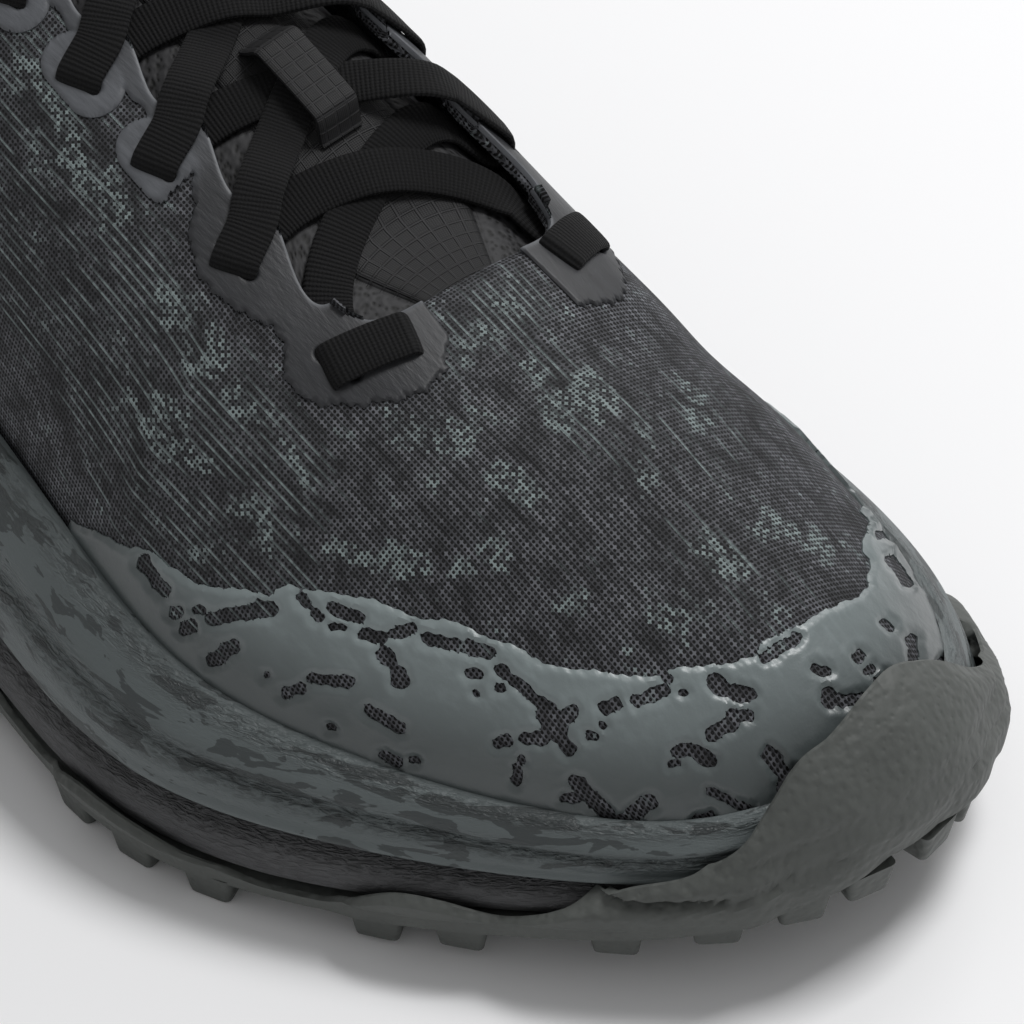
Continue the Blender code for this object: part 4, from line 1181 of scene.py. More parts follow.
def foam_material(name, colour, dark, fleck, dull):
    """Moulded foam skin: slanting wrinkles where the wrinkle mark is high, with painted shade in their
    troughs, fine grain elsewhere, and dark flecks that lie along the shoe and cover as much as fleck says.
    Dull is added to its roughness."""
    shader = Shader(name)
    along, height = shader.fabric()
    flat = shader.pair(along, height)
    stretched = shader.add("Mapping", {"Vector": flat, "Scale": (0.28, 1.0, 1.0)})
    spot = shader.noise(stretched, scale=370.0, detail=4.0, roughness=0.5, distortion=0.5)
    broad = shader.noise(stretched, scale=120.0, detail=2.0)
    cloud = shader.noise(shader.place(), scale=60.0, detail=3.0)
    mask = shader.step(shader.sum("MULTIPLY_ADD", broad, 0.30, spot), 0.695, 0.712)
    base = shader.tones(cloud, colour, 0.84, 1.14)
    base = shader.mix(shader.times(mask, fleck), base, paint(dark))
    slant = {"Vector": flat, "Rotation": (0.0, 0.0, -0.45), "Scale": (0.34, 1.25, 1.0)}
    slanted = shader.add("Mapping", slant)
    creased = shader.noise(slanted, scale=1100.0, detail=3.0, roughness=0.5, distortion=1.4)
    fine = shader.noise(shader.place(), scale=1300.0, detail=3.0, roughness=0.6, distortion=1.0)
    strong = shader.mark("wrinkle")
    ridges = shader.times(creased, shader.sum("MULTIPLY_ADD", strong, 0.92, 0.08))
    # Painted shade in the wrinkles' troughs, as strong as the wrinkle mark
    trough_shade = shader.sum("SUBTRACT", 1.0, shader.step(creased, 0.40, 0.56))
    trough_shade = shader.times(shader.times(trough_shade, strong), 0.65)
    base = shader.mix(trough_shade, base, shade(colour, 0.22))
    normal = shader.bump(ridges, distance=0.0012)
    normal = shader.bump(fine, distance=0.00006, before=normal)
    normal = shader.bump(cloud, distance=0.0006, before=normal)
    roughness = shader.blend(creased, 0.38 + dull, 0.55 + dull)
    return shader.finish(base, roughness, normal, specular=0.45)


def rubber_material(looks):
    """Olive grey rubber with a fine leathery grain."""
    shader = Shader("rubber")
    where = shader.place()
    grain = shader.add("TexVoronoi", {"Vector": where, "Scale": 750.0}, feature="SMOOTH_F1")
    cloud = shader.noise(where, scale=120.0, detail=4.0)
    base = shader.tones(cloud, looks.rubber_colour, 0.75, 1.25)
    normal = shader.bump(grain, distance=0.00035)
    normal = shader.bump(cloud, distance=0.0006, before=normal)
    roughness = shader.blend(cloud, 0.50, 0.68)
    return shader.finish(base, roughness, normal, specular=0.40)


def lace_material(looks):
    """Flat woven lace: fine ribs across it and finer yarns along it, with a painted highlight on the ribs'
    crests.
    """
    shader = Shader("lace")
    along, across = shader.fabric()
    rib = shader.wave(along, looks.lace_rib_pitch)
    yarn = shader.wave(across, looks.lace_rib_pitch * 0.8)
    fuzz = shader.noise(shader.pair(along, across), scale=3000.0, detail=2.0)
    height = shader.sum("MULTIPLY_ADD", yarn, 0.35, rib)
    # Painted highlight: the ribs' crests drawn paler, broken up by the fuzz
    crest_highlight = shader.times(rib, fuzz)
    base = shader.tones(crest_highlight, looks.lace_colour, 0.6, 2.4)
    normal = shader.bump(height, distance=0.00010)
    normal = shader.bump(fuzz, distance=0.00012, before=normal)
    return shader.finish(base, roughness=0.85, normal=normal, specular=0.2, sheen=0.02)


def ripstop_material(looks):
    """Thin tongue cloth with a raised square grid, and knit flanks where the mark says so."""
    shader = Shader("ripstop")
    along, across = shader.fabric()
    pitch = looks.ripstop_pitch
    line_along = shader.step(shader.wave(along, pitch), 0.86, 0.97)
    line_across = shader.step(shader.wave(across, pitch), 0.86, 0.97)
    square = shader.sum("MAXIMUM", line_along, line_across)
    fine = shader.times(shader.wave(along, pitch / 7), shader.wave(across, pitch / 7))
    knit = shader.mark("knit")
    net = {"Vector": shader.pair(along, across), "Scale": 1100.0}
    hole = shader.add("TexVoronoi", net, feature="SMOOTH_F1")
    smooth_cloth = shader.tones(square, looks.lace_colour, 1.9, 3.0)
    smooth_cloth = shader.mix(shader.times(fine, 0.5), smooth_cloth, shade(looks.lace_colour, 2.5))
    thread = shader.step(hole, 0.15, 0.5)
    open_knit = shader.tones(thread, looks.lace_colour, 0.25, 5.0)
    colour = shader.mix(knit, smooth_cloth, open_knit)
    height = shader.blend(knit, shader.sum("MULTIPLY_ADD", fine, 0.3, square), hole)
    normal = shader.bump(height, distance=0.00018)
    return shader.finish(colour, roughness=0.6, normal=normal, specular=0.3)


def cloth_material(name, colour):
    """Plain brushed cloth."""
    shader = Shader(name)
    where = shader.place()
    fuzz = shader.noise(where, scale=1500.0, detail=3.0)
    base = shader.tones(fuzz, colour, 0.6, 1.4)
    normal = shader.bump(fuzz, distance=0.0001)
    return shader.finish(base, roughness=0.9, normal=normal, specular=0.15, sheen=0.1)


# The sole's surfaces


def base_rings(around, heights):
    """Rings up the side of the black layer, at shares of its height."""
    share = along(around)
    low = plate_top(share) + GAP
    high = seam(share) - GAP
    recess = bumper_recess(around)
    insets = read(BASE_SIDE, 1, heights) * SIDE_DEPTH
    return np.array([stacked(plan(around, inset + recess), low + height * (high - low))
                     for height, inset in zip(heights, insets)])


def crest_inset(around):
    """How far in from the outline the upper stands where it comes out of the midsole."""
    point = upper(around, up_at_height(around, rim(along(around))), GAP)
    return ((point[:, :2] - plan(around)) * inward(around)).sum(-1)


def foam_relief(around, height):
    """Soft swell of the grey layer's side: long slow waves that fade at its top and bottom edges."""
    column = around * COLUMN_COUNT
    swell = 0.6 * np.sin(1.7 * column + 5.0 * height) + 0.4 * np.sin(2.9 * column - 7.0 * height + 1.0)
    return FOAM_SWELL * swell * np.sin(np.pi * np.clip(height, 0, 1))


def midsole_rings(around, heights, relief=True):
    """Rings up the side of the grey layer to its rim, at shares of its height."""
    share = along(around)
    low, high = seam(share), rim(share)
    top_inset = crest_inset(around) - RIM_CREST
    recess = bumper_recess(around)
    rows = []
    for height in heights:
        inwards = read(MIDSOLE_SIDE, 2, height)
        depth = read(MIDSOLE_SIDE, 1, height) * SIDE_DEPTH + recess * (1 - inwards) + inwards * top_inset
        if relief:
            depth = depth - foam_relief(around, height)
        rows.append(stacked(plan(around, depth), low + height * (high - low)))
    return np.array(rows)


def foam_piece(rings, heights, bands):
    """A foam layer from its rings: body, lengths along and up its side, and the wrinkle mark, a bell round
    each band's height. Rings past the last height are inside the shoe and plain."""
    along_way = run_length(rings[0])
    up_steps = np.linalg.norm(np.diff(rings, axis=0), axis=-1)
    up_way = np.concatenate([np.zeros((1, rings.shape[1])), np.cumsum(up_steps, 0)])
    fabric = np.stack(np.broadcast_arrays(along_way[None], up_way), -1)
    wrinkle = np.zeros(len(rings))
    for middle, width, strength in bands:
        rise = strength * bell(heights - middle, width)
        wrinkle[: len(heights)] = np.maximum(wrinkle[: len(heights)], rise)
    marks = {"wrinkle": np.repeat(wrinkle, rings.shape[1])}
    return *ring_body(rings), fabric.reshape(-1, 2), marks


def midsole_piece(around):
    """Grey layer: up its side to the rim, down inside along the upper and across under the foot."""
    heights = np.linspace(0, 1, FOAM_ROWS)
    side = midsole_rings(around, heights)
    crest = up_at_height(around, rim(along(around)))
    inside = np.array([upper(around, crest * share, 2 * GAP) for share in np.linspace(1.0, 0.33, 8)])
    floor = stacked(plan(around, ledge(along(around))), bed(along(around)))
    return foam_piece(np.concatenate([side, inside, floor[None]]), heights, MIDSOLE_WRINKLES)


def side_inset(around, heights):
    """Inset of the sole's whole side, black layer, grey layer and rand, at rows of heights."""
    shares = np.linspace(0, 1, 9)
    lower, upper_side = base_rings(around, shares), midsole_rings(around, shares, relief=False)
    crest = up_at_height(around, rim(along(around)))
    film = RAND_THICKNESS + OVERLAY_LIFT
    rand = [upper(around, crest + rise, film) for rise in (0.02, 0.06, 0.10, 0.15, 0.20)]
    stack = np.concatenate([lower, upper_side, np.array(rand)])
    inset = ((stack[..., :2] - plan(around)) * inward(around)).sum(-1)
    return np.array([np.interp(heights[:, j], stack[:, j, 2], inset[:, j]) for j in range(len(around))]).T


def outsole_rings(around):
    """Rubber tray: plate, side wall up to its scalloped edge, a round lip, and down inside to the plate."""
    share = along(around)
    floor = plate_top(share)
    low = floor - PLATE_THICKNESS
    rise = np.maximum(read(RUBBER_EDGE, 1, np.mod(around, 1) * COLUMN_COUNT), 0)
    top = floor + LIP_HEIGHT + BUMPER_RISE * rise
    skin = LIP_SKIN + (RUBBER_SKIN - LIP_SKIN) * smooth(0.0, 0.12, rise)
    rows = np.linspace(0, 1, WALL_ROWS)[:, None]
    heights = floor + (top - floor) * rows
    reach = (top - floor) * 0.125 * (1 - 0.7 * rows)
    knee = floor + KNEE_HEIGHT
    near = [side_inset(around, np.maximum(heights + shift * reach, knee)) for shift in (-1, -0.5, 0, 0.5, 1)]
    clearance = TRAY_CLEARANCE + (BUMPER_CLEARANCE - TRAY_CLEARANCE) * smooth(0.3, 0.6, rise)
    inside = np.min(near, 0) - clearance
    round_off = 1 - 0.7 * smooth(0.72, 1.0, rows) ** 2
    outside = inside - skin * round_off
    rings = [stacked(plan(around, outside[0] + LUG_DRAFT * 2), low),
             stacked(plan(around, outside[0] + 0.3 * LUG_DRAFT), low + 0.25 * PLATE_THICKNESS)]
    rings += [stacked(plan(around, inset), height) for inset, height in zip(outside, heights)]
    rings += [stacked(plan(around, inset), height) for inset, height in zip(inside[::-2], heights[::-2])]
    return np.array(rings)


def rounded_loop(corners, radius):
    """Closed outline through corners, each replaced by a short arc of points: corner less both ways by the
    radius, blended as a quadratic curve."""
    corners = np.asarray(corners, float)
    before, after = np.roll(corners, 1, 0), np.roll(corners, -1, 0)
    start = corners + unit(before - corners) * radius
    end = corners + unit(after - corners) * radius
    share = np.linspace(0, 1, CORNER_POINTS)[:, None, None]
    arc = (1 - share) ** 2 * start + 2 * share * (1 - share) * corners + share**2 * end
    return arc.transpose(1, 0, 2).reshape(-1, 2)


def lug(corners, root_height, tip_height):
    """One lug: round-edged loops from its root in the plate down to its tip, drawn in by the draft and
    rounded off at the tip."""
    corners = np.asarray(corners, float)
    centre = corners.mean(0)
    span = np.linalg.norm(corners - centre, axis=1).mean()
    loops = []
    for level, inset in LUG_PROFILE:
        loop = rounded_loop(centre + (corners - centre) * (1 - inset * LUG_DRAFT / span), LUG_CORNER)
        loops.append(stacked(loop, root_height + (tip_height - root_height) * level))
    return tube(np.array(loops[::-1]))


def edge_lug_corners(around):
    """Corners of a lug at the sole's edge, square to the outline, with its outer side pushed out."""
    centre = plan(around, -0.5 * SIDE_DEPTH - LUG_STAND)
    into = inward(around)
    way = np.array([into[1], -into[0]])
    half = EDGE_LUG_LENGTH / 2
    depth = EDGE_LUG_DEPTH + LUG_STAND
    corners = [(-half, 0.0), (half, 0.0), (half * 0.8, depth), (-half * 0.8, depth)]
    return np.array([centre + way * a + into * b for a, b in corners])


def chevron_corners(x, y, point):
    """Corners of a V-shaped lug, in two halves that meet at its point."""
    half, reach, arm = CHEVRON_WIDTH / 2, CHEVRON_LENGTH * point, CHEVRON_LENGTH * 0.55 * point
    halves = []
    for side in (-1, 1):
        corners = np.array([(reach - arm / 2, 0.0), (-arm / 2, side * half), (-arm * 1.5, side * half),
                            (reach - arm * 1.5, 0.0)])
        halves.append((corners if side * point > 0 else corners[::-1]) + [x, y])
    return halves


def tread_bodies():
    """All lugs: blocks along the edge, and chevrons down the middle."""
    outlines = []
    for first, last, count in EDGE_LUGS:
        outlines += [edge_lug_corners(column / COLUMN_COUNT) for column in np.linspace(first, last, count)]
    for start, pitch, rows, middle, gap, point in CHEVRONS:
        reach = CHEVRON_WIDTH * (1 + gap) / 2
        for row in range(rows):
            x = (start + pitch * row) * SHOE_LENGTH
            for side in (LATERAL, MEDIAL):
                outlines += chevron_corners(x, middle * BALL_WIDTH + side * reach, point)
    bodies = []
    for corners in outlines:
        share = np.clip(corners[:, 0].mean() / SHOE_LENGTH, 0, 1)
        bodies.append(lug(corners, plate_top(share) - PLATE_THICKNESS / 2, tread(share)))
    return bodies


def insole_rings(around, heights):
    """Foot bed liner, inside the upper's wall, rounded in at its top."""
    share = along(around)
    low = bed(share) + GAP
    inset = ledge(share) + UPPER_WALL + 4 * GAP
    return np.array([stacked(plan(around, inset + INSOLE_ROUNDING * smooth(0.7, 1.0, height)),
                             low + height * INSOLE_THICKNESS) for height in heights])


# The upper and its films


def ridge_line(x):
    """Middle line of the shoe's top at x: the crown between the throat's edges, and ahead of them the middle
    column of the vamp."""
    vamp = wall_point(0.5, np.linspace(1.0, 0.1, 60))
    vamp = vamp[: np.argmax(vamp[:, 0]) + 1]
    back = np.linspace(throat_back(), throat_front() - TONGUE_FRONT, 40)
    crown = saddle(back, 0.0) + [0, 0, UPPER_WALL + TONGUE_GAP]
    line = np.concatenate([crown, vamp])
    return np.stack([np.interp(x, line[:, 0], line[:, k]) for k in (1, 2)], -1)


def fabric_lengths(points, normals, around):
    """Lengths along and across the cloth. Its ribs run along the shoe: the length along is X, and round the
    heel the way round it. The length across is the arc down from the ridge: the straight distance to it,
    lengthened as a round bow that turns by the same angle, which is how far the surface leans."""
    ridge = ridge_line(points[..., 0])
    behind = np.minimum(points[..., 0] - HEEL_TURN, 0.0)
    out = np.hypot(points[..., 1] - ridge[..., 0], behind)
    straight = np.hypot(out, points[..., 2] - ridge[..., 1])
    lean = np.arctan2(np.hypot(normals[..., 0] * (behind < 0), normals[..., 1]), normals[..., 2])
    half = np.maximum(np.abs(lean) / 2, 1e-3)
    side = np.where(np.mod(around, 1) < 0.5, LATERAL, MEDIAL)
    swing = np.arctan2(-behind, np.abs(points[..., 1] - ridge[..., 0])) * out
    return np.stack([points[..., 0] - behind - swing, side * straight * half / np.sin(half)], -1)


def scallop(around):
    """How far the throat's edge draws back from its line: a wave a slot, steep just behind each lace."""
    x = section(around)[3][..., 0]
    slots = slot_places()
    phase = (slots[0] - x) / (slots[0] - slots[1])
    wave = 0.5 - 0.5 * np.cos(2 * np.pi * np.mod(phase, 1) ** SCALLOP_LEAN)
    column = np.mod(around, 1) * COLUMN_COUNT
    column = np.minimum(column, COLUMN_COUNT - column)
    return SCALLOP_DEPTH * (wave - 0.3) * smooth(4.9, 5.6, column) * (1 - smooth(9.2, 9.9, column))


def vamp_relief(points):
    """Soft troughs and ridges of the empty vamp: each row of VAMP_FOLDS is a bar laid across the toe box,
    whose height falls off with distance as a bell."""
    lift = np.zeros(points.shape[:-1])
    for x, y, length, width, turn, height in VAMP_FOLDS:
        angle = np.radians(turn)
        way = np.array([np.cos(angle), np.sin(angle)])
        offset = points[..., :2] - [x, y]
        run = offset @ way
        side = offset @ np.array([-way[1], way[0]])
        lift += height * np.exp(-((side / width) ** 2) - (run / length) ** 2)
    return lift


def slot_depth(around, up, side, grow=0.0):
    """Distance outside the nearest lace slot, from rounded bars along the throat's edge."""
    point = wall_point(around, up)
    nearest = np.full(around.shape, 1.0)
    for x in slot_places():
        place = throat_around(x, side)
        at = up_from_edge(place, SLOT_INSET)
        centre, normal = wall_point(place, at), wall_normal(place, at)
        edge_way = unit(wall_point(place + 1e-3, at) - wall_point(place - 1e-3, at))
        out_way = np.cross(normal, edge_way)
        offset = point - centre
        reach = (SLOT_LENGTH - SLOT_WIDTH) / 2
        run = offset @ edge_way
        across = offset @ out_way
        gap = np.hypot(np.maximum(np.abs(run) - reach, 0), across) - SLOT_WIDTH / 2 - grow
        nearest = np.minimum(nearest, np.where(np.abs(offset @ normal) < 0.01, gap, 1.0))
    return nearest


def photo_marks(points, normals):
    """Fleck and streak amounts of the knit: clusters where the photo shows them, as soft rounded bars, and
    an even amount on the sides that it doesn't show."""
    seen = facing(normals)
    pixels = wobble(photo_pixels(points), 2.0)
    fleck = np.zeros(points.shape[:-1])
    for *row, strength in FLECK_CLUSTERS:
        fleck = np.maximum(fleck, strength * (1 - smooth(-4.0, 16.0, blob_distance(pixels, [row]))))
    streak = np.zeros(points.shape[:-1])
    for *row, strength in STREAK_AREAS:
        streak = np.maximum(streak, strength * (1 - smooth(-10.0, 50.0, blob_distance(pixels, [row]))))
    return seen * fleck + (1 - seen) * HIDDEN_FLECK, seen * streak + (1 - seen) * HIDDEN_STREAK


def upper_sheet():
    """Places of the upper's grid: round the shoe, and up its wall to the scalloped edge."""
    around = np.append(fine_places(UPPER_COLUMNS), 1.0)
    edge = up_from_edge(around, scallop(around))
    share = np.linspace(0, 1, UPPER_ROWS_FINE)[:, None]
    share = share * (1.25 - 0.25 * share)
    up = edge * share
    around = np.broadcast_to(around, up.shape)
    return around, up


def upper_piece():
    """The knitted upper: one sheet with a real wall, lace slots through it and a rounded top edge."""
    around, up = upper_sheet()
    normals = wall_normal(around, up)
    outer = wall_point(around, up)
    round_off = 0.45 * UPPER_WALL * smooth(0.985, 1.0, up / up[-1:]) ** 2
    lift = vamp_relief(outer) - round_off
    thick = wall(around, up) - round_off
    inner = outer - normals * thick[..., None]
    outer = outer + normals * lift[..., None]
    depth = np.minimum(slot_depth(around, up, LATERAL), slot_depth(around, up, MEDIAL))
    fabric = fabric_lengths(outer, normals, around)
    fleck, streak = photo_marks(outer, normals)
    points, faces, source = cut_sheet(outer, inner, depth)
    marks = {"fleck": fleck.ravel()[source], "streak": streak.ravel()[source]}
    return points, faces, fabric.reshape(-1, 2)[source], marks


def rand_piece():
    """Toe rand: film from the midsole's rim up to its torn top edge, with raised rims round its holes. The
    photo gives the edge and the holes on the side that it shows, and RAND_TOP the rest."""
    first, last = np.array(RAND_TOP)[[0, -1], 0] / COLUMN_COUNT
    around = np.concatenate([np.linspace(first, RAND_TURN, RAND_COLUMNS, endpoint=False),
                             np.linspace(RAND_TURN, last, RAND_COLUMNS // 5)])
    low = up_at_height(around, rim(along(around)) - RAND_UNDERLAP)
    share = np.linspace(0, 1, RAND_ROWS)[:, None]
    up = low + (RAND_REACH - low) * share
    around = np.broadcast_to(around, up.shape)
    normals = wall_normal(around, up)
    surface = wall_point(around, up)
    seen = normals @ camera_axes()[0] > 0.06
    pixels = photo_pixels(surface)
    torn = wobble(pixels, 0.9)
    shown = np.minimum(polygon_distance(torn, RAND_OUTLINE), blob_distance(torn, RAND_HOLES)) * PIXEL
    top = read(RAND_TOP, 1, around * COLUMN_COUNT)
    hidden = (top - up) * WALL_LENGTH + RAND_FRAY * np.sin(around * 700) * np.sin(around * 311)
    depth = np.where(seen, shown, hidden)
    rise = RAND_RIM * bell(depth - RAND_RIM_PLACE, RAND_RIM_WIDTH) + RAND_LIFT
    # Painted highlight: the edge mark makes the film paler along its torn edge and round its holes
    edge = bell(np.maximum(depth, 0), RAND_EDGE_WIDTH)
    # Painted shade: the low mark darkens the film low on the wall, near the midsole's rim
    above = surface[..., 2] - rim(along(around))
    dark = 1 - smooth(RAND_SHADE_UNDER, RAND_SHADE_GONE_OVER, above)
    relief = vamp_relief(surface)[..., None]
    lift = rise * smooth(-0.0002, 0.0010, depth) + RAND_BASE
    outer = surface + normals * (relief + lift[..., None])
    inner = surface + normals * (relief - FILM_ROOT)
    points, faces, source = cut_sheet(outer, inner, depth)
    return points, faces, {"edge": edge.ravel()[source], "low": dark.ravel()[source]}


def stay_piece(table, side):
    """Eyestay film along the scalloped edge, with a slot at each tab. Round the first two slots the photo
    gives the lateral one's outline, and the table the medial one's width; further up it is a narrow hem
    with a paler ring round each slot."""
    rows = np.array(table)
    around = np.linspace(rows[0, 0], rows[-1, 0], STAY_COLUMNS) / COLUMN_COUNT
    distance = STAY_REACH * np.linspace(1, 0, STAY_ROWS)[:, None] - STAY_EDGE_TUCK
    around = np.broadcast_to(around, (STAY_ROWS, STAY_COLUMNS))
    inset = distance + scallop(around)
    up = up_from_edge(around, np.maximum(inset, scallop(around)))
    normals = wall_normal(around, up)
    surface = wall_point(around, up)
    column = around * COLUMN_COUNT
    width = read(table, 1, column) * STAY_WIDTH
    slots = slot_depth(around, up, side)
    ringed = 1 - smooth(0.0, STAY_CHANGE, surface[..., 0] - STAY_RINGS_FROM)
    frayed = 0.0003 * np.sin(column * 23.0) + 0.0002 * np.sin(column * 61.0 + 1.0)
    wide = width + frayed - inset
    if side == LATERAL:
        wide = polygon_distance(wobble(photo_pixels(surface), 2.0), STAY_OUTLINE) * PIXEL
    ring = RING_WIDTH - slots
    rings = np.maximum(STAY_HEM + frayed - inset, ring)
    outline = np.where(ringed > 0.5, rings, np.maximum(wide, -0.002))
    ends = np.minimum(column - rows[0, 0], rows[-1, 0] - column) * STAY_END_SLOPE
    depth = np.minimum(outline, distance + 0.00015)
    depth = np.minimum(np.minimum(depth, ends), slots + SLOT_CLEARANCE)
    raw = np.broadcast_to(bell(np.maximum(distance, 0), STAY_EDGE_WIDTH), depth.shape)
    pale = ringed * (0.5 + 0.5 * smooth(-RING_BLUR, RING_BLUR, ring))
    relief = vamp_relief(surface)[..., None]
    lift = STAY_LIFT * smooth(-0.0002, 0.0005, depth) + STAY_BASE
    outer = surface + normals * (relief + lift[..., None])
    inner = surface + normals * (relief - FILM_ROOT)
    points, faces, source = cut_sheet(outer, inner, depth)
    marks = {"edge": raw.ravel()[source], "ring": pale.ravel()[source]}
    return points, faces, marks


# Tongue and laces


def tongue_grid(columns, rows_under, rows_over):
    """Top surface of the tongue: rows under the vamp, back along the throat, then the free top edge."""
    depth = -(UPPER_WALL + TONGUE_GAP)
    across = np.linspace(-2.0, 2.0, columns)
    around = (12 + across * TONGUE_SPREAD) / COLUMN_COUNT
    under = TONGUE_UNDERLAP * np.maximum(np.abs(across) - 1, 0)
    rows = [upper(around, up_from_edge(around, np.maximum(TONGUE_TIP * share, under)), depth)
            for share in np.linspace(1, 0, rows_under)]
    places = np.linspace(throat_front() - TONGUE_FRONT, throat_back() + TONGUE_BACK_SETBACK, rows_over)
    rows += [saddle(np.full(columns, x), across) for x in places]
    travel = unit(rows[-1].mean(0) - rows[-2].mean(0))
    last = rows[-1]
    centre = last.mean(0)
    for share in np.linspace(0.1, 1.0, 10):
        narrow = 1 - TONGUE_NARROWING * share * 1.4
        rows.append(centre + (last - centre) * [1, narrow, 1] + travel * TONGUE_FREE * share * 1.4)
    return np.array(rows), across


def tongue_piece():
    """Tongue: ripstop down its middle, knit on its flanks, padded and thin at its hem."""
    grid, across = tongue_grid(TONGUE_COLUMNS, 8, TONGUE_ROWS)
    rows, columns = grid.shape[:2]
    for _ in range(3):
        grid[1:-1] = (grid[:-2] + 2 * grid[1:-1] + grid[2:]) / 4
    from_end = np.minimum(np.arange(rows), np.arange(rows)[::-1])
    down = smooth(0, 8, from_end)[:, None]
    over = smooth(0.0, 0.5, 2 - np.abs(across))[None]
    normals = grid_normals(grid)
    depth = TONGUE_HEM + (TONGUE_THICKNESS - TONGUE_HEM) * down * over
    panel = 1 - smooth(*PANEL_EDGE, np.abs(across))[None] * np.ones((rows, 1))
    seam_line = bell(np.abs(across) - PANEL_SEAM, PANEL_SEAM_WIDTH)[None]
    swell = PANEL_SWELL * panel - PANEL_SEAM_DEPTH * seam_line
    round_off = 0.4 * TONGUE_HEM * (1 - smooth(0, 2, from_end))[:, None]
    outer = grid + normals * (swell - round_off)[..., None]
    inner = grid - normals * (depth - round_off)[..., None]
    run = run_length(grid[:, columns // 2])
    widths = np.linalg.norm(np.diff(grid, axis=1), axis=-1).mean(0)
    wide = np.cumsum(np.append(0, widths))
    fabric = np.stack(np.broadcast_arrays(run[:, None], wide[None]), -1)
    points, faces, source = cut_sheet(outer, inner, np.ones((rows, columns)))
    return points, faces, fabric.reshape(-1, 2)[source], {"knit": (1 - panel).ravel()[source]}


def saddle_normal(x, across):
    """Unit normal of the tongue's saddle, from small steps both ways."""
    across_step, x_step = 5e-3, 1e-4
    return unit(np.cross(saddle(x, across + across_step) - saddle(x, across - across_step),
                         saddle(x - x_step, across) - saddle(x + x_step, across)))


def band(points, sides, width, thickness):
    """Flat lace along a line of points: a rounded bar section, across it the given side vectors. Also the
    lengths along it and over its section, for its weave."""
    way = unit(np.gradient(points, axis=0))
    sides = unit(sides - way * (sides * way).sum(-1, keepdims=True))
    lift = np.cross(way, sides)
    angle = np.linspace(0, 2 * np.pi, LACE_SECTION, endpoint=False)
    across = np.sign(np.cos(angle)) * np.abs(np.cos(angle)) ** 0.55 * width / 2
    height = np.sign(np.sin(angle)) * np.abs(np.sin(angle)) ** 0.75 * thickness / 2
    height = height * (1 + 0.25 * np.cos(angle) ** 4)
    sections = points[:, None] + sides[:, None] * across[:, None] + lift[:, None] * height[:, None]
    run = run_length(points)
    fabric = np.stack(np.broadcast_arrays(run[:, None], across[None]), -1).reshape(-1, 2)
    ends = np.array([[run[0], 0.0], [run[-1], 0.0]])
    body = tube(sections[:, ::-1])
    fabric = fabric.reshape(len(points), -1, 2)[:, ::-1].reshape(-1, 2)
    return body, np.concatenate([fabric, ends])


def through_slot(points, sides, centre, normal, way, radius):
    """A lace's line and side vectors with a half turn put before them, up through the slot it comes from."""
    turn = np.linspace(np.pi, 0, LOOP_POINTS)[:-1, None]
    loop = centre + normal * radius * np.cos(turn) - way * radius * LOOP_BULGE * np.sin(turn)
    return np.concatenate([loop, points]), np.concatenate([np.repeat(sides[:1], len(loop), 0), sides])


def lace_path(x_start, x_end, side, over, bump):
    """Middle line and side vectors of a lace from under one side's slot, up through it or under its edge,
    across the tongue and under the other edge to that side's next slot. Heights are over the tongue's
    saddle; the bump lifts it over what it crosses."""
    share = np.linspace(0, 1, LACE_STATIONS)
    slot_across = 1 + SLOT_INSET / TONGUE_UNDERLAP
    across = side * slot_across * (1 - 2 * share)
    x = x_start + (x_end - x_start) * smooth(0.12, 0.88, share)
    under = LACE_THICKNESS / 2 + LACE_REST * 0.3
    film = UPPER_WALL + TONGUE_GAP + STAY_LIFT + LACE_CLEARANCE + LACE_THICKNESS / 2
    height = np.full(LACE_STATIONS, under)
    if over:
        height = under + (film - under) * (1 - smooth(0.26, 0.44, share))
    height = height + bump * bell(share - 0.5, CROSSING_SPAN)
    normal = saddle_normal(x, across)
    middle = saddle(x, across)
    points = middle + normal * height[:, None]
    way = unit(np.gradient(middle, axis=0))
    sides = np.cross(normal, way)
    if over:
        radius = (film - under) / 2
        centre = middle[0] + normal[0] * (under + radius)
        return through_slot(points, sides, centre, normal[0], way[0], radius)
    return points, sides


def up_on_chord(around, first, last):
    """Heights up the wall of the straight way, seen from above, between two places at these insets from the
    throat's edge: where each column of the wall meets the upright plane through both ends."""
    insets = np.linspace(first - CHORD_SEARCH, first + CHORD_SEARCH, 41)[:, None]
    ups = up_from_edge(around, insets)
    ends = wall_point(around[[0, -1]], up_from_edge(around[[0, -1]], np.array([first, last])))[:, :2]
    way = ends[1] - ends[0]
    reached = wall_point(np.broadcast_to(around, ups.shape), ups)[..., :2]
    off = (reached - ends[0]) @ np.array([-way[1], way[0]])
    turns = (off[:-1] < 0) != (off[1:] < 0)
    row = turns.argmax(0)
    column = np.arange(len(around))
    before, after = off[row, column], off[row + 1, column]
    return ups[row, column] + (ups[row + 1, column] - ups[row, column]) * before / (before - after)


def start_path(side):
    """The first bar: up through the first slot, over the eyestay and down beside the tip of the vamp."""
    share = np.linspace(0, 1, LACE_STATIONS // 2)
    first = throat_around(slot_places()[0], side)
    last = 0.5 + side * START_COLUMN / COLUMN_COUNT
    around = first + (last - first) * share
    up = up_on_chord(around, SLOT_INSET, START_INSET)
    normal = wall_normal(around, up)
    surface = wall_point(around, up)
    lift = STAY_LIFT + LACE_CLEARANCE + LACE_THICKNESS / 2
    dive = (UPPER_WALL + TONGUE_GAP + LACE_THICKNESS) * smooth(0.74, 0.98, share)
    points = surface + normal * (lift - dive)[:, None]
    way = unit(np.gradient(surface, axis=0))
    sides = np.cross(normal, way)
    radius = (lift + UPPER_WALL + TONGUE_GAP / 2) / 2
    centre = surface[0] + normal[0] * (lift - radius)
    return through_slot(points, sides, centre, normal[0], way[0], radius)


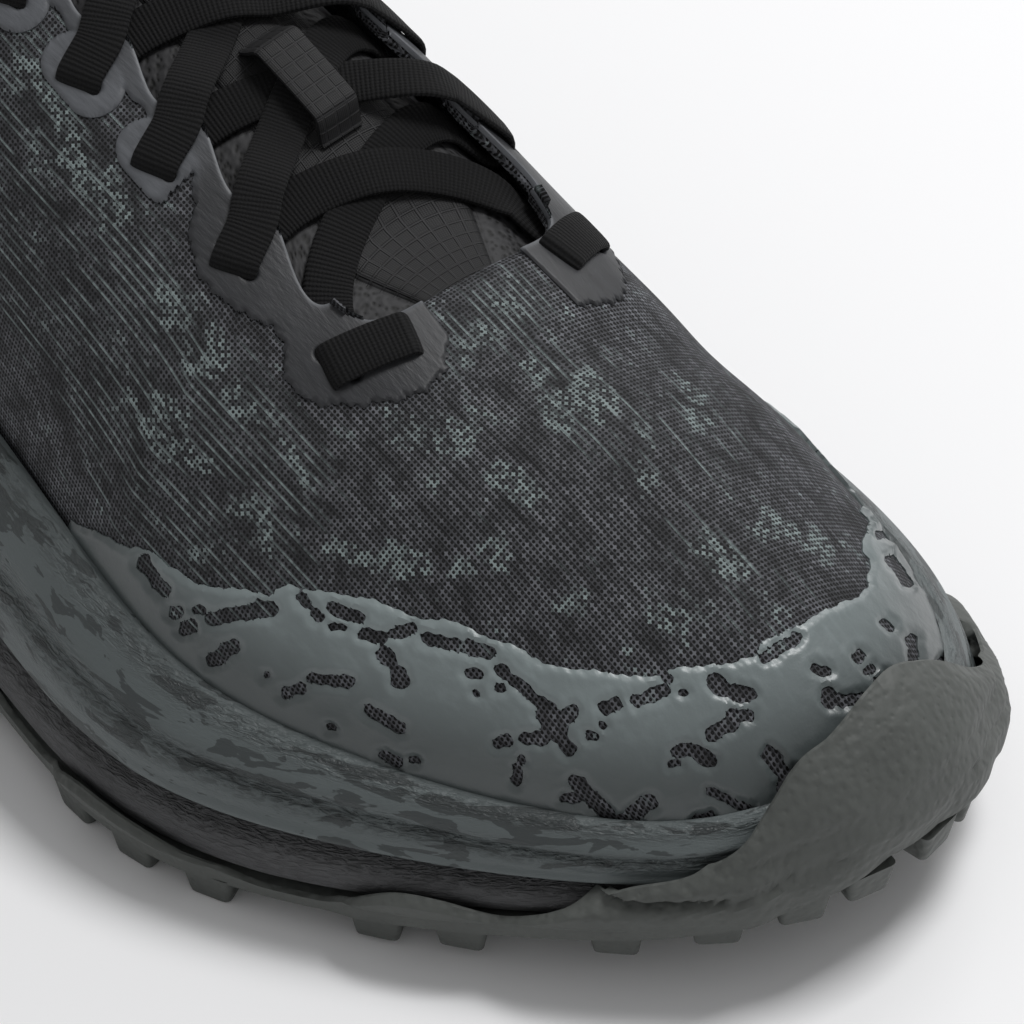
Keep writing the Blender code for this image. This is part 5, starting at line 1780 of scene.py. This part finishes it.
def keeper_piece():
    """Ripstop strap along the tongue that holds the laces at their crossing."""
    x = np.mean(slot_places()[1:3])
    share = np.linspace(-1, 1, KEEPER_STATIONS)
    places = x - share * KEEPER_LENGTH / 2
    rise = GAP + (KEEPER_LIFT * LACE_THICKNESS + LACE_REST) * (1 - smooth(0.62, 1.0, np.abs(share)))
    centred = np.zeros(KEEPER_STATIONS)
    normal = saddle_normal(places, centred)
    middle = saddle(places, centred) + normal * (rise + KEEPER_THICKNESS / 2)[:, None]
    sides = np.cross(normal, unit(np.gradient(middle, axis=0)))
    return band(middle, sides, KEEPER_WIDTH, KEEPER_THICKNESS)


SHIFT = frame_shift()


# Sizes and colours that a user would change


def colour_property(name, description, default):
    """A colour that a user would change."""
    return bpy.props.FloatVectorProperty(name=name, description=description, default=default,
                                         subtype="COLOR", size=3, min=0.0, max=1.0)


def length_property(name, description, default):
    """A length that a user would change."""
    return bpy.props.FloatProperty(name=name, description=description, default=default, unit="LENGTH",
                                   precision=5, min=0.00001)


class ShoeLooks(bpy.types.PropertyGroup):
    """Colours and weaves of the shoe."""

    knit_colour: colour_property("Knit", "Ground of the upper's knit", (0.0180, 0.0185, 0.0205))
    fleck_colour: colour_property("Flecks", "Pale yarns in the knit", (0.170, 0.205, 0.205))
    rand_colour: colour_property("Rand", "Film round the toe", (0.185, 0.218, 0.221))
    stay_colour: colour_property("Eyestay", "Film round the slots", (0.025, 0.026, 0.029))
    ring_colour: colour_property("Rings", "Printed rings round the upper slots", (0.095, 0.100, 0.110))
    foam_colour: colour_property("Grey foam", "Upper layer of the midsole", (0.100, 0.117, 0.119))
    foam_fleck: colour_property("Foam flecks", "Dark flecks in the grey foam", (0.022, 0.026, 0.027))
    base_colour: colour_property("Black foam", "Lower layer of the midsole", (0.066, 0.067, 0.070))
    rubber_colour: colour_property("Rubber", "Outsole", (0.080, 0.086, 0.081))
    lace_colour: colour_property("Lace", "Laces and tongue", (0.0050, 0.0050, 0.0054))
    lining_colour: colour_property("Insole", "Cloth of the insole", (0.020, 0.020, 0.022))
    rib_pitch: length_property("Rib pitch", "Distance between the mesh's ribs", 0.0013)
    stitch_pitch: length_property("Cell size", "Side of one cell of the mesh", 0.00065)
    fleck_size: length_property("Fleck size", "Width of a cluster of pale cells", 0.0040)
    dash_length: length_property("Dash length", "Length of a pale dash along a rib", 0.0120)
    lace_rib_pitch: length_property("Lace rib pitch", "Distance between a lace's ribs", 0.00068)
    ripstop_pitch: length_property("Ripstop pitch", "Side of the tongue cloth's squares", 0.0022)


class ShoeStage(bpy.types.PropertyGroup):
    """Floor and light."""

    floor_colour: colour_property("Floor", "Colour of the floor", (0.93, 0.93, 0.94))
    world_strength: bpy.props.FloatProperty(name="Surround", description="Strength of the even light",
                                            default=0.37, min=0.0)
    key_power: bpy.props.FloatProperty(name="Key light", description="Power of the light from above",
                                       default=12.6, min=0.0, unit="POWER")
    rim_power: bpy.props.FloatProperty(name="Back light", description="Power of the light from behind",
                                       default=3.6, min=0.0, unit="POWER")


class SHOE_OT_sole(bpy.types.Operator):
    """Builds the outsole with its lugs, both foam layers and the insole"""

    bl_idname = "shoe.sole"
    bl_label = "Sole"

    def execute(self, context):
        looks = context.scene.shoe_looks
        around = fine_places(SOLE_COLUMNS)
        tread_parts = joined([ring_body(outsole_rings(around)), *tread_bodies()])
        add_piece("outsole_look", tread_parts, rubber_material(looks), ["outsole"])
        base_heights = np.linspace(0, 1, BASE_ROWS)
        rings = base_rings(around, base_heights)
        points, faces, fabric, marks = foam_piece(rings, base_heights, BASE_WRINKLES)
        lower = foam_material("black_foam_skin", looks.base_colour, looks.base_colour, 0.0, 0.15)
        add_piece("midsole_base_look", (points, faces), lower, ["midsole_base"], fabric, marks)
        points, faces, fabric, marks = midsole_piece(around)
        grey = foam_material("grey_foam_skin", looks.foam_colour, looks.foam_fleck, 0.70, 0.0)
        add_piece("midsole_look", (points, faces), grey, ["midsole"], fabric, marks, sharp=60.0)
        cloth = cloth_material("insole_cloth", looks.lining_colour)
        liner = ring_body(insole_rings(around, INSOLE_LEVELS))
        add_piece("insole_look", liner, cloth, ["insole"])
        return {"FINISHED"}


class SHOE_OT_upper(bpy.types.Operator):
    """Builds the knitted upper"""

    bl_idname = "shoe.upper"
    bl_label = "Upper"

    def execute(self, context):
        looks = context.scene.shoe_looks
        points, faces, fabric, marks = upper_piece()
        knit = knit_material(looks)
        add_piece("upper_look", (points, faces), knit, ["upper"], fabric, marks)
        return {"FINISHED"}


class SHOE_OT_films(bpy.types.Operator):
    """Builds the toe rand and both eyestays"""

    bl_idname = "shoe.films"
    bl_label = "Films"

    def execute(self, context):
        looks = context.scene.shoe_looks
        points, faces, marks = rand_piece()
        rand = film_material("rand_film", looks.rand_colour)
        add_piece("toe_rand_look", (points, faces), rand, ["toe_rand"], None, marks)
        finish = stay_material(looks)
        for table, side, name in ((LATERAL_STAY, LATERAL, "lateral"), (MEDIAL_STAY, MEDIAL, "medial")):
            points, faces, marks = stay_piece(table, side)
            node = f"eyestay_{name}"
            add_piece(node + "_look", (points, faces), finish, [node], None, marks)
        return {"FINISHED"}


class SHOE_OT_tongue(bpy.types.Operator):
    """Builds the padded tongue and its lace keeper"""

    bl_idname = "shoe.tongue"
    bl_label = "Tongue"

    def execute(self, context):
        looks = context.scene.shoe_looks
        finish = ripstop_material(looks)
        points, faces, fabric, marks = tongue_piece()
        tongue = add_piece("tongue_look", (points, faces), finish, ["tongue"], fabric, marks)
        body, fabric = keeper_piece()
        add_piece("tongue_keeper_look", body, finish, ["tongue_keeper"], fabric)
        return {"FINISHED"}


class SHOE_OT_laces(bpy.types.Operator):
    """Runs the flat laces through the slots and across the tongue"""

    bl_idname = "shoe.laces"
    bl_label = "Laces"

    def execute(self, context):
        looks = context.scene.shoe_looks
        finish = lace_material(looks)
        places = slot_places()
        for side, name in ((LATERAL, "lateral"), (MEDIAL, "medial")):
            body, fabric = band(*start_path(side), LACE_WIDTH, LACE_THICKNESS)
            node = f"lace_start_{name}"
            add_piece(node + "_look", body, finish, [node], fabric)
        for level in range(SLOT_COUNT - 1):
            over = level > 0
            first_on_top = level % 2 == 0
            for side, name in ((LATERAL, "lateral"), (MEDIAL, "medial")):
                on_top = first_on_top == (side == MEDIAL)
                bump = LACE_THICKNESS * CROSSING_LIFT if on_top else 0.0
                path = lace_path(places[level], places[level + 1], side, over, bump)
                body, fabric = band(*path, LACE_WIDTH, LACE_THICKNESS)
                nodes = [f"lace_cross_{level + 1}"] if side == LATERAL else []
                add_piece(f"lace_{level + 1}_{name}_look", body, finish, nodes, fabric)
        return {"FINISHED"}


def add_light(name, offset, size, power, target):
    """Square area light that stands at an offset from the target and points at it."""
    data = bpy.data.lights.new(name, "AREA")
    data.size = size
    data.energy = power
    light = bpy.data.objects.new(name, data)
    turn = Vector(offset).to_track_quat("Z", "Y").to_matrix().to_4x4()
    light.matrix_world = Matrix.Translation(Vector(target + offset)) @ turn
    bpy.context.scene.collection.objects.link(light)
    return light


class SHOE_OT_stage(bpy.types.Operator):
    """Adds the pale floor, the soft light and the photo's camera"""

    bl_idname = "shoe.stage"
    bl_label = "Stage"

    def execute(self, context):
        stage = context.scene.shoe_stage
        back, right, up = camera_axes()
        target = np.array(CAMERA_TARGET) + SHIFT
        reach = FLOOR_REACH
        mesh = bpy.data.meshes.new("floor")
        corners = [(-reach, -reach, 0), (reach, -reach, 0), (reach, reach, 0), (-reach, reach, 0)]
        mesh.from_pydata(corners, [], [(0, 1, 2, 3)])
        floor = bpy.data.objects.new("floor", mesh)
        context.scene.collection.objects.link(floor)
        shader = Shader("floor")
        mesh.materials.append(shader.finish(paint(stage.floor_colour), roughness=0.8, specular=0.2))

        world = bpy.data.worlds.new("surround")
        world.use_nodes = True
        background = world.node_tree.nodes["Background"]
        background.inputs["Color"].default_value = (1.0, 1.0, 1.0, 1.0)
        background.inputs["Strength"].default_value = stage.world_strength
        context.scene.world = world
        level_back = unit(back * [1, 1, 0])
        level = np.stack([right, level_back, [0, 0, 1]])
        add_light("key", np.array(KEY_PLACE) @ level, KEY_SIZE, stage.key_power, target)
        add_light("rim", np.array(RIM_PLACE) @ level, RIM_SIZE, stage.rim_power, target)

        data = bpy.data.cameras.new("photo_camera")
        data.sensor_width = CAMERA_SENSOR
        data.lens = CAMERA_LENS
        camera = bpy.data.objects.new("photo_camera", data)
        turn = Matrix((right, up, back)).transposed().to_4x4()
        camera.matrix_world = Matrix.Translation(Vector(target + back * CAMERA_DISTANCE)) @ turn
        context.scene.collection.objects.link(camera)
        context.scene.camera = camera
        context.scene.view_settings.view_transform = "Standard"
        return {"FINISHED"}


class SHOE_PT_panel(bpy.types.Panel):
    """The shoe's operators and settings"""

    bl_idname = "SHOE_PT_panel"
    bl_label = "Trail running shoe"
    bl_space_type = "VIEW_3D"
    bl_region_type = "UI"
    bl_category = "Shoe"

    def draw(self, context):
        for operator in OPERATORS:
            self.layout.operator(operator.bl_idname)
        for group in (context.scene.shoe_looks, context.scene.shoe_stage):
            for name in group.__annotations__:
                self.layout.prop(group, name)


OPERATORS = (SHOE_OT_sole, SHOE_OT_upper, SHOE_OT_films, SHOE_OT_tongue, SHOE_OT_laces, SHOE_OT_stage)
CLASSES = (ShoeLooks, ShoeStage, *OPERATORS, SHOE_PT_panel)


def register():
    """Registers the classes and gives each scene its settings."""
    for made in CLASSES:
        bpy.utils.register_class(made)
    bpy.types.Scene.shoe_looks = bpy.props.PointerProperty(type=ShoeLooks)
    bpy.types.Scene.shoe_stage = bpy.props.PointerProperty(type=ShoeStage)


def unregister():
    """Takes back what register made."""
    del bpy.types.Scene.shoe_looks
    del bpy.types.Scene.shoe_stage
    for made in reversed(CLASSES):
        bpy.utils.unregister_class(made)


def main():
    """Builds everything in order."""
    register()
    bpy.ops.shoe.sole()
    bpy.ops.shoe.upper()
    bpy.ops.shoe.films()
    bpy.ops.shoe.tongue()
    bpy.ops.shoe.laces()
    bpy.ops.shoe.stage()


if __name__ == "__main__":
    main()
